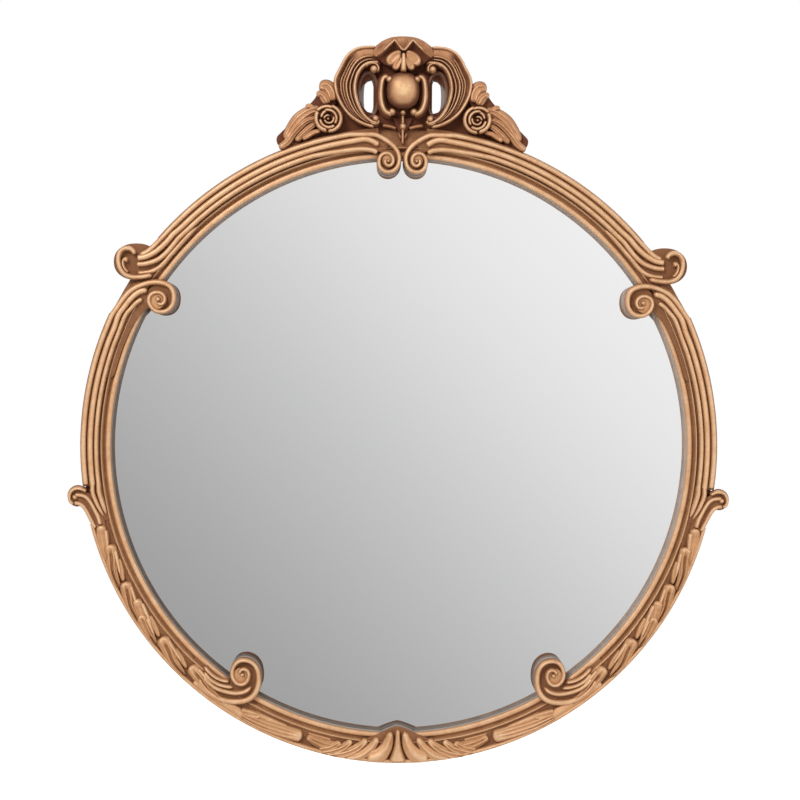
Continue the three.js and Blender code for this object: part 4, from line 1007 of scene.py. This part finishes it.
class GILTMIRROR_OT_cartouche(bpy.types.Operator):
    """Domed boss with its straps and beads, and the drop below it."""

    bl_idname = "gilt_mirror.cartouche"
    bl_label = "Cartouche"

    def execute(self, context):
        centre_z = 436.5
        level = np.linspace(0, math.pi / 2, 26)[:-1]
        rings = [
            egg((0, centre_z + math.cos(a)), 20.3 * math.cos(a) ** 0.75, 22.3 * math.cos(a) ** 0.75, 2.4, 96)
            for a in [0, *level]
        ]
        lift = [FOOT, *(FACE + 9 + 22.5 * np.sin(level) ** 0.8)]
        grid = np.array([grid_of(ring[:, 0], h, ring[:, 1]) for ring, h in zip(rings, lift)])
        # Painted highlight on the boss's crown and painted shade towards its edges, with the wash and wear.
        high = np.array([0, *np.clip(lerp(-0.5, 0.95, np.sin(level) ** 1.7), 0, 1)])[:, None]
        boss = Shell(grid, high)
        boss.corners[-1], boss.high[-1] = [0, FACE + 31.5, centre_z], 1.0
        piece("carved_cartouche_boss", [boss], "boss", "cartouche_boss")
        strap = through([(17.5, 452.5), (22.5, 453), (25.6, 447.5), (27, 434), (25.6, 420.5), (21, 411.5), (13, 408.5)])
        shells = [
            wound(strap, FACE + 21.5, FOOT + 6, 7.6),
            bead((16.8, 450.3), 4.1, FACE + 17, FACE + 25.5),
            bead((13.2, 411.3), 4.2, FACE + 15, FACE + 24),
            ledge(strap, 12, FACE + 9),
        ]
        pair("cartouche_strap", shells, "crest")
        half_plate = [(12, 405), (9, 397), (4.5, 388), (2.5, 372)]
        plate = [(-12, 405), *half_plate, *((-x, z) for x, z in half_plate[:0:-1])]
        drop = [
            bead((0, 410.6), 3.2, FACE + 12, FACE + 22),
            bead((0, 394), 4.1, FACE + 10, FACE + 20),
            carried([(0, 408), (0, 390), (0, 371)], 3.6, FACE + 14, FACE + 3, start=1, end=6),
            slab(plate, FOOT, FACE + 5, 1.0, 0.08),
        ]
        for side in (-1, 1):
            leaf = [(side * 1.5, 379), (side * 3.5, 383), (side * 5, 387)]
            twig = [(side * 7, 392), (side * 19, 395), (side * 26, 395.5)]
            drop.append(petal(leaf, [4, 5, 3.5], FACE + 9, FACE + 5, 2.5, 2, (0, 0.4)))
            drop.append(carried(twig, 4.5, FACE + 9, FACE + 3, start=3, end=3, shade=(0, 0.5)))
        return piece("carved_pendant_drop", drop, "crest", "pendant_drop")


class GILTMIRROR_OT_roses(bpy.types.Operator):
    """Roses on the shoulders: a cupped ground with petals that wind in to the bud."""

    bl_idname = "gilt_mirror.roses"
    bl_label = "Roses"

    def execute(self, context):
        centre, low, cup = np.array([91.0, 402.0]), FOOT + 5, FACE + 12
        profile = [(0, low), (15.6, low), (16.4, FACE + 9), (15.5, cup), (12, cup + 0.5), (9, cup - 0.5), (4, cup)]
        shells = [spun([*profile, (0, cup)], centre, 72, [0, 0, 0.15, 0.3, 0.2, 0.1, 0.05, 0.05])]
        for first, sweep, size, drift, crown, width in (
            (100, 175, 15.0, -0.8, 18.5, 5.2),
            (-85, 122, 14.6, 0.8, 20.5, 6.0),
            (30, 85, 15.4, -1.2, 17.5, 5.2),
            (60, 165, 10.0, -0.8, 20.0, 4.6),
            (222, 140, 10.2, -0.4, 21.0, 4.8),
            (0, 80, 9.0, 0.8, 21.5, 4.4),
            (150, 210, 5.6, -1.2, 22.0, 3.6),
            (-20, 150, 4.2, -1.2, 23.0, 3.2),
        ):
            bow = np.radians(np.linspace(first, first + sweep, 48))
            radius = size + drift * np.linspace(-1, 1, 48)
            path = centre + np.stack([radius * np.cos(bow), radius * np.sin(bow)], axis=-1)
            shells.append(carried(path, width, FACE + crown, FACE + 9, 0.6, 14, 3, 3))
        shells.append(bead(centre + [0.4, -0.3], 2.4, cup, FACE + 22))
        return pair("rose", shells, "crest")


class GILTMIRROR_OT_leaf_sprays(bpy.types.Operator):
    """Leaves round each rose."""

    bl_idname = "gilt_mirror.leaf_sprays"
    bl_label = "Leaf sprays"

    def execute(self, context):
        shells = [ledge([(90, 437), (98, 420), (116, 401), (134, 383), (150, 367)], 25, FACE + 7)]
        for path, widths, crown, flutes, depth in (
            ([(86, 424), (88, 434), (94, 441.5), (103, 440)], [14, 20, 19, 12], 15.5, 3, 0.3),
            ([(92, 420), (96, 428), (101, 432), (105.5, 430)], [10, 13, 12, 9], 17.0, 2, 0.3),
            ([(101, 414), (114, 411), (127, 401.5), (137, 388), (143, 376)], [10, 15, 17, 15, 11], 14.5, 3, 0.3),
            ([(104, 403), (118, 399), (132, 386), (141, 374), (151, 366)], [7, 9, 10, 10, 9], 16.5, 2, 0.3),
            ([(106, 397), (113, 392), (122, 384), (131, 375)], [7, 9, 9, 7], 17.5, 2, 0.25),
            ([(100, 388), (109, 386), (117, 381), (123, 377)], [5, 7, 7, 6], 15.5, 1, 0.2),
            ([(107, 414), (115, 418), (118, 415)], [6, 7, 6], 15.5, 1, 0.2),
        ):
            tip = widths[-1] * 0.55
            shells.append(petal(path, widths, FACE + crown, FACE + 8.5, tip, 4, (0.1, 0.9), flutes, depth))
        return pair("leaf_spray", shells, "crest")


def spread(node_name):
    """A CAD node's middle on the face, and its heights off the wall at its two ends."""
    low, high = (np.array(corner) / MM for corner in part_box(node_name))
    return ((low + high) / 2)[[0, 2]] - [0, CENTRE_Z], -high[1], -low[1]


class GILTMIRROR_OT_back(bpy.types.Operator):
    """Backing board, bumpers and screws, and the finer turn buttons, hangers and mending plate."""

    bl_idname = "gilt_mirror.back"
    bl_label = "Back and fittings"

    def execute(self, context):
        edge, front = 365.1, RING_BACK + 5
        board = [(0, RING_BACK), (edge - 0.7, RING_BACK), (edge, RING_BACK + 0.6), (edge, front), (0, front)]
        piece("pressed_board", [spun(board)], "board", "backing_board", smooth=30)
        felt = [(0, 0), (8.6, 0), (9.5, 0.35), (10, 1.4), (10, 6.7), (0, 6.7)]
        for number in range(1, 5):
            name = f"wall_bumper_{number}"
            piece(f"felt_bumper_{number}", [spun(felt, spread(name)[0], 48)], "felt", name)
        fittings = [
            (name, "steel" if name.startswith("mending") else "brass")
            for name in frame["nodes"]
            if name.startswith(("button", "hanger", "mending", "turn"))
        ]
        for name, metal in fittings:
            if "_screw" in name:
                piece(f"fine_{name}", screw(*spread(name)), metal, name, smooth=35)
        for name, metal in fittings:
            for kind, width in (("turn_button", 0.35), ("hanger_strap", 0.3), ("mending_plate", 0.4)):
                if name.startswith(kind):
                    softened(name, width * MM, metal)
        hanger_ring("right", 1)
        return hanger_ring("left", -1)


def screw(middle, head, tip):
    """A pan head with a shallow slot, over a shank. The slot is two raised halves of the head on a lower disc."""
    under, turn = head + 1.3, np.radians(np.linspace(-78, 78, 25))
    shank = [(0, under - 0.1), (1.6, under - 0.1), (1.6, tip - 1.6), (0, tip)]
    head_disc = [(0, under), (3.2, under), (3.15, head + 0.75), (2.9, head + 0.6), (0, head + 0.55)]
    shells = [spun(shank, middle, 24), spun(head_disc, middle, 40)]
    for side in (-1, 1):
        outline = middle + np.stack([side * (0.42 + 2.3715 * np.cos(turn)), 2.9 * np.sin(turn)], axis=-1)
        size = np.array([1, 1, 0.9, 0.6, 0.2])[:, None, None]
        x, z = np.moveaxis(lerp(middle + [side * 1.3, 0], outline, size), -1, 0)
        level = head + np.array([0.9, 0.35, 0.12, 0.02, 0])[:, None]
        shells.append(Shell(grid_of(x, level, z), 0.6))
    return shells


def softened(name, width, metal):
    """A copy of a fitting with its doubles merged and its edges bevelled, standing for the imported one."""
    import bmesh

    mesh = frame["nodes"][name].data.copy()
    mesh.name = f"soft_{name}"
    work = bmesh.new()
    work.from_mesh(mesh)
    bmesh.ops.remove_doubles(work, verts=work.verts, dist=1e-6)
    bmesh.ops.dissolve_limit(work, angle_limit=math.radians(1), verts=work.verts, edges=work.edges)
    work.to_mesh(mesh)
    work.free()
    made = bpy.data.objects.new(f"soft_{name}", mesh)
    bevel = made.modifiers.new("Soft edges", "BEVEL")
    bevel.width, bevel.segments = width, 3
    bevel.limit_method, bevel.angle_limit = "ANGLE", math.radians(40)
    body = next(body for body, nodes in frame["record"]["behaviour"]["bodies"].items() if name in nodes)
    dressed(made, metal, name, body)
    mesh.polygons.foreach_set("use_smooth", np.ones(len(mesh.polygons), dtype=bool))
    mesh.set_sharp_from_angle(angle=math.radians(35))


def hanger_ring(side, sign):
    """The D-shaped ring of round wire: a straight bar, two corners, two legs and a half circle, carried round
    with a circle of 1.5 across it and leant on its strap."""
    lean, wire, pivot_x, pivot_z, level = math.radians(sign * -30), 1.5, 327.574, 189.125, 3.55
    corner, radius, leg = 2.5, 11.0, 5.0
    line = []
    for x, z, size, first, sweep, steps in (
        (corner - radius, -corner, corner, 180, -90, 12),
        (radius - corner, -corner, corner, 90, -90, 12),
        (0, -leg, radius, 0, -180, 48),
    ):
        a = np.radians(np.linspace(first, first + sweep, steps))
        line.append(np.stack([x + size * np.cos(a), z + size * np.sin(a)], axis=-1))
    line = np.concatenate(line)
    line = line[np.append(True, np.diff(run(line)) > 1e-6)]
    along = np.roll(line, -1, axis=0) - np.roll(line, 1, axis=0)
    along /= np.linalg.norm(along, axis=1, keepdims=True)
    a = np.linspace(0, 2 * math.pi, 16, endpoint=False)
    x = line[:, :1] + along[:, 1:] * wire * np.cos(a)
    z = line[:, 1:] - along[:, :1] * wire * np.cos(a)
    turned_x = sign * pivot_x + x * math.cos(lean) + z * math.sin(lean)
    turned_z = pivot_z - x * math.sin(lean) + z * math.cos(lean)
    shell = Shell(grid_of(turned_x, level + wire * np.sin(a), turned_z), 0.7, loop_rings=True)
    return piece(f"wire_ring_{side}", [shell], "brass", f"hanger_ring_{side}", body=f"ring_{side}")


class GILTMIRROR_OT_carried_over(bpy.types.Operator):
    """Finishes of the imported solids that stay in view."""

    bl_idname = "gilt_mirror.carried_over"
    bl_label = "Carried-over solids"

    def execute(self, context):
        painted(frame["nodes"]["crest_backplate"], "ground")
        painted(frame["nodes"]["glass_spacer"], "foam")
        return {"FINISHED"}


class GILTMIRROR_OT_stage(bpy.types.Operator):
    """Pale floor, white surroundings, soft lamps and the camera."""

    bl_idname = "gilt_mirror.stage"
    bl_label = "Stage"

    def execute(self, context):
        scene = context.scene
        scene.view_settings.view_transform = "Standard"
        self.floor(scene)
        self.surroundings(scene)
        middle = np.array([0, 0, CENTRE_Z * MM])
        for name, spot, size, power in (
            ("key", (-1.38, -2.5, 1.66), 1.15, 65),
            ("fill", (2.5, -1.8, 0.3), 2.0, 25),
            ("rim_back", (0.4, 2.6, 1.4), 2.0, 30),
        ):
            lamp = bpy.data.lights.new(name, "AREA")
            lamp.size, lamp.energy = size, power
            aimed(scene, name, lamp, spot, middle)
        camera = bpy.data.cameras.new("photograph")
        camera.sensor_width, camera.lens = 36, 87.5
        camera.clip_start, camera.clip_end = 0.1, 50
        distance, sideways, upwards = 2.4, math.radians(-1.5), math.radians(2.5)
        aim = middle + [-0.0004, -0.03, 0.0585]
        way = np.array([math.sin(sideways), -1, math.sin(upwards)])
        scene.camera = aimed(scene, "photograph", camera, aim + distance * way, aim, roll=0.48)
        return {"FINISHED"}

    def floor(self, scene):
        """Lit white, seen by the camera with a glow of its own, and pure white in the glass."""
        mesh = bpy.data.meshes.new("studio_floor")
        reach, level = 6.0, -1.05
        corners = [(-reach, -reach, level), (reach, -reach, level), (reach, reach, level), (-reach, reach, level)]
        mesh.from_pydata(corners, [], [(0, 1, 2, 3)])
        floor = bpy.data.objects.new("studio_floor", mesh)
        scene.collection.objects.link(floor)
        material, tree, shader = blank("Studio floor")
        feed(tree, shader, {"Base Color": (0.9, 0.9, 0.9, 1), "Roughness": 1.0, "Specular IOR Level": 0.0})
        plain = tree.nodes["Principled BSDF"].outputs[0]
        seen = node(tree, "LightPath").outputs
        glow = node(tree, "Emission", {"Strength": 0.62}).outputs[0]
        both = node(tree, "AddShader", {0: plain, 1: glow}).outputs[0]
        lit = node(tree, "MixShader", {0: seen["Is Camera Ray"], 1: plain, 2: both}).outputs[0]
        glossy = calc(tree, "MAXIMUM", seen["Is Glossy Ray"], seen["Is Transmission Ray"])
        white = node(tree, "Emission").outputs[0]
        surface = node(tree, "MixShader", {0: glossy, 1: lit, 2: white}).outputs[0]
        feed(tree, tree.nodes["Material Output"].inputs, {"Surface": surface})
        mesh.materials.append(material)

    def surroundings(self, scene):
        """White all round, at full strength where it is seen and less where it lights."""
        scene.world = bpy.data.worlds.new("Studio")
        scene.world.use_nodes = True
        tree = scene.world.node_tree
        seen = node(tree, "LightPath").outputs
        direct = calc(tree, "MAXIMUM", seen["Is Camera Ray"], seen["Is Glossy Ray"])
        direct = calc(tree, "MAXIMUM", direct, seen["Is Transmission Ray"])
        strength = blend(tree, direct, 0.45, 1.0, "Float")
        feed(tree, tree.nodes["Background"].inputs, {"Color": (1, 1, 1, 1), "Strength": strength})


def aimed(scene, name, data, spot, aim, roll=0.0):
    """A lamp or camera at a spot, turned to face the aim and rolled by some degrees."""
    from mathutils import Matrix, Vector

    made = bpy.data.objects.new(name, data)
    scene.collection.objects.link(made)
    made.location = spot
    way = Vector(aim - np.array(spot)).to_track_quat("-Z", "Y").to_matrix()
    made.rotation_euler = (way @ Matrix.Rotation(math.radians(roll), 3, "Z")).to_euler()
    return made


class GILTMIRROR_PT_pieces(bpy.types.Panel):
    """Lists the settings and the pieces."""

    bl_label = "Gilt mirror"
    bl_space_type = "VIEW_3D"
    bl_region_type = "UI"
    bl_category = "Mirror"

    def draw(self, context):
        for settings in (context.scene.gilt_mirror_finish, context.scene.gilt_mirror_shape):
            for name in settings.bl_rna.properties.keys():
                if name not in ("rna_type", "name"):
                    self.layout.prop(settings, name)
        for operator in OPERATORS:
            self.layout.operator(operator.bl_idname)


OPERATORS = (
    GILTMIRROR_OT_stage,
    GILTMIRROR_OT_ring,
    GILTMIRROR_OT_glass,
    GILTMIRROR_OT_upper_arches,
    GILTMIRROR_OT_side_scrolls,
    GILTMIRROR_OT_ears,
    GILTMIRROR_OT_leaf_swags,
    GILTMIRROR_OT_bottom_volutes,
    GILTMIRROR_OT_bottom_rails,
    GILTMIRROR_OT_base_leaf,
    GILTMIRROR_OT_c_scrolls,
    GILTMIRROR_OT_shell,
    GILTMIRROR_OT_cartouche,
    GILTMIRROR_OT_roses,
    GILTMIRROR_OT_leaf_sprays,
    GILTMIRROR_OT_back,
    GILTMIRROR_OT_carried_over,
)
CLASSES = (GiltMirrorFinish, GiltMirrorShape, *OPERATORS, GILTMIRROR_PT_pieces)


def register():
    for cls in CLASSES:
        bpy.utils.register_class(cls)
    bpy.types.Scene.gilt_mirror_finish = bpy.props.PointerProperty(type=GiltMirrorFinish)
    bpy.types.Scene.gilt_mirror_shape = bpy.props.PointerProperty(type=GiltMirrorShape)


def unregister():
    del bpy.types.Scene.gilt_mirror_shape
    del bpy.types.Scene.gilt_mirror_finish
    for cls in reversed(CLASSES):
        bpy.utils.unregister_class(cls)


def main():
    register()
    for operator in OPERATORS:
        section, name = operator.bl_idname.split(".")
        getattr(getattr(bpy.ops, section), name)()


if __name__ == "__main__":
    main()
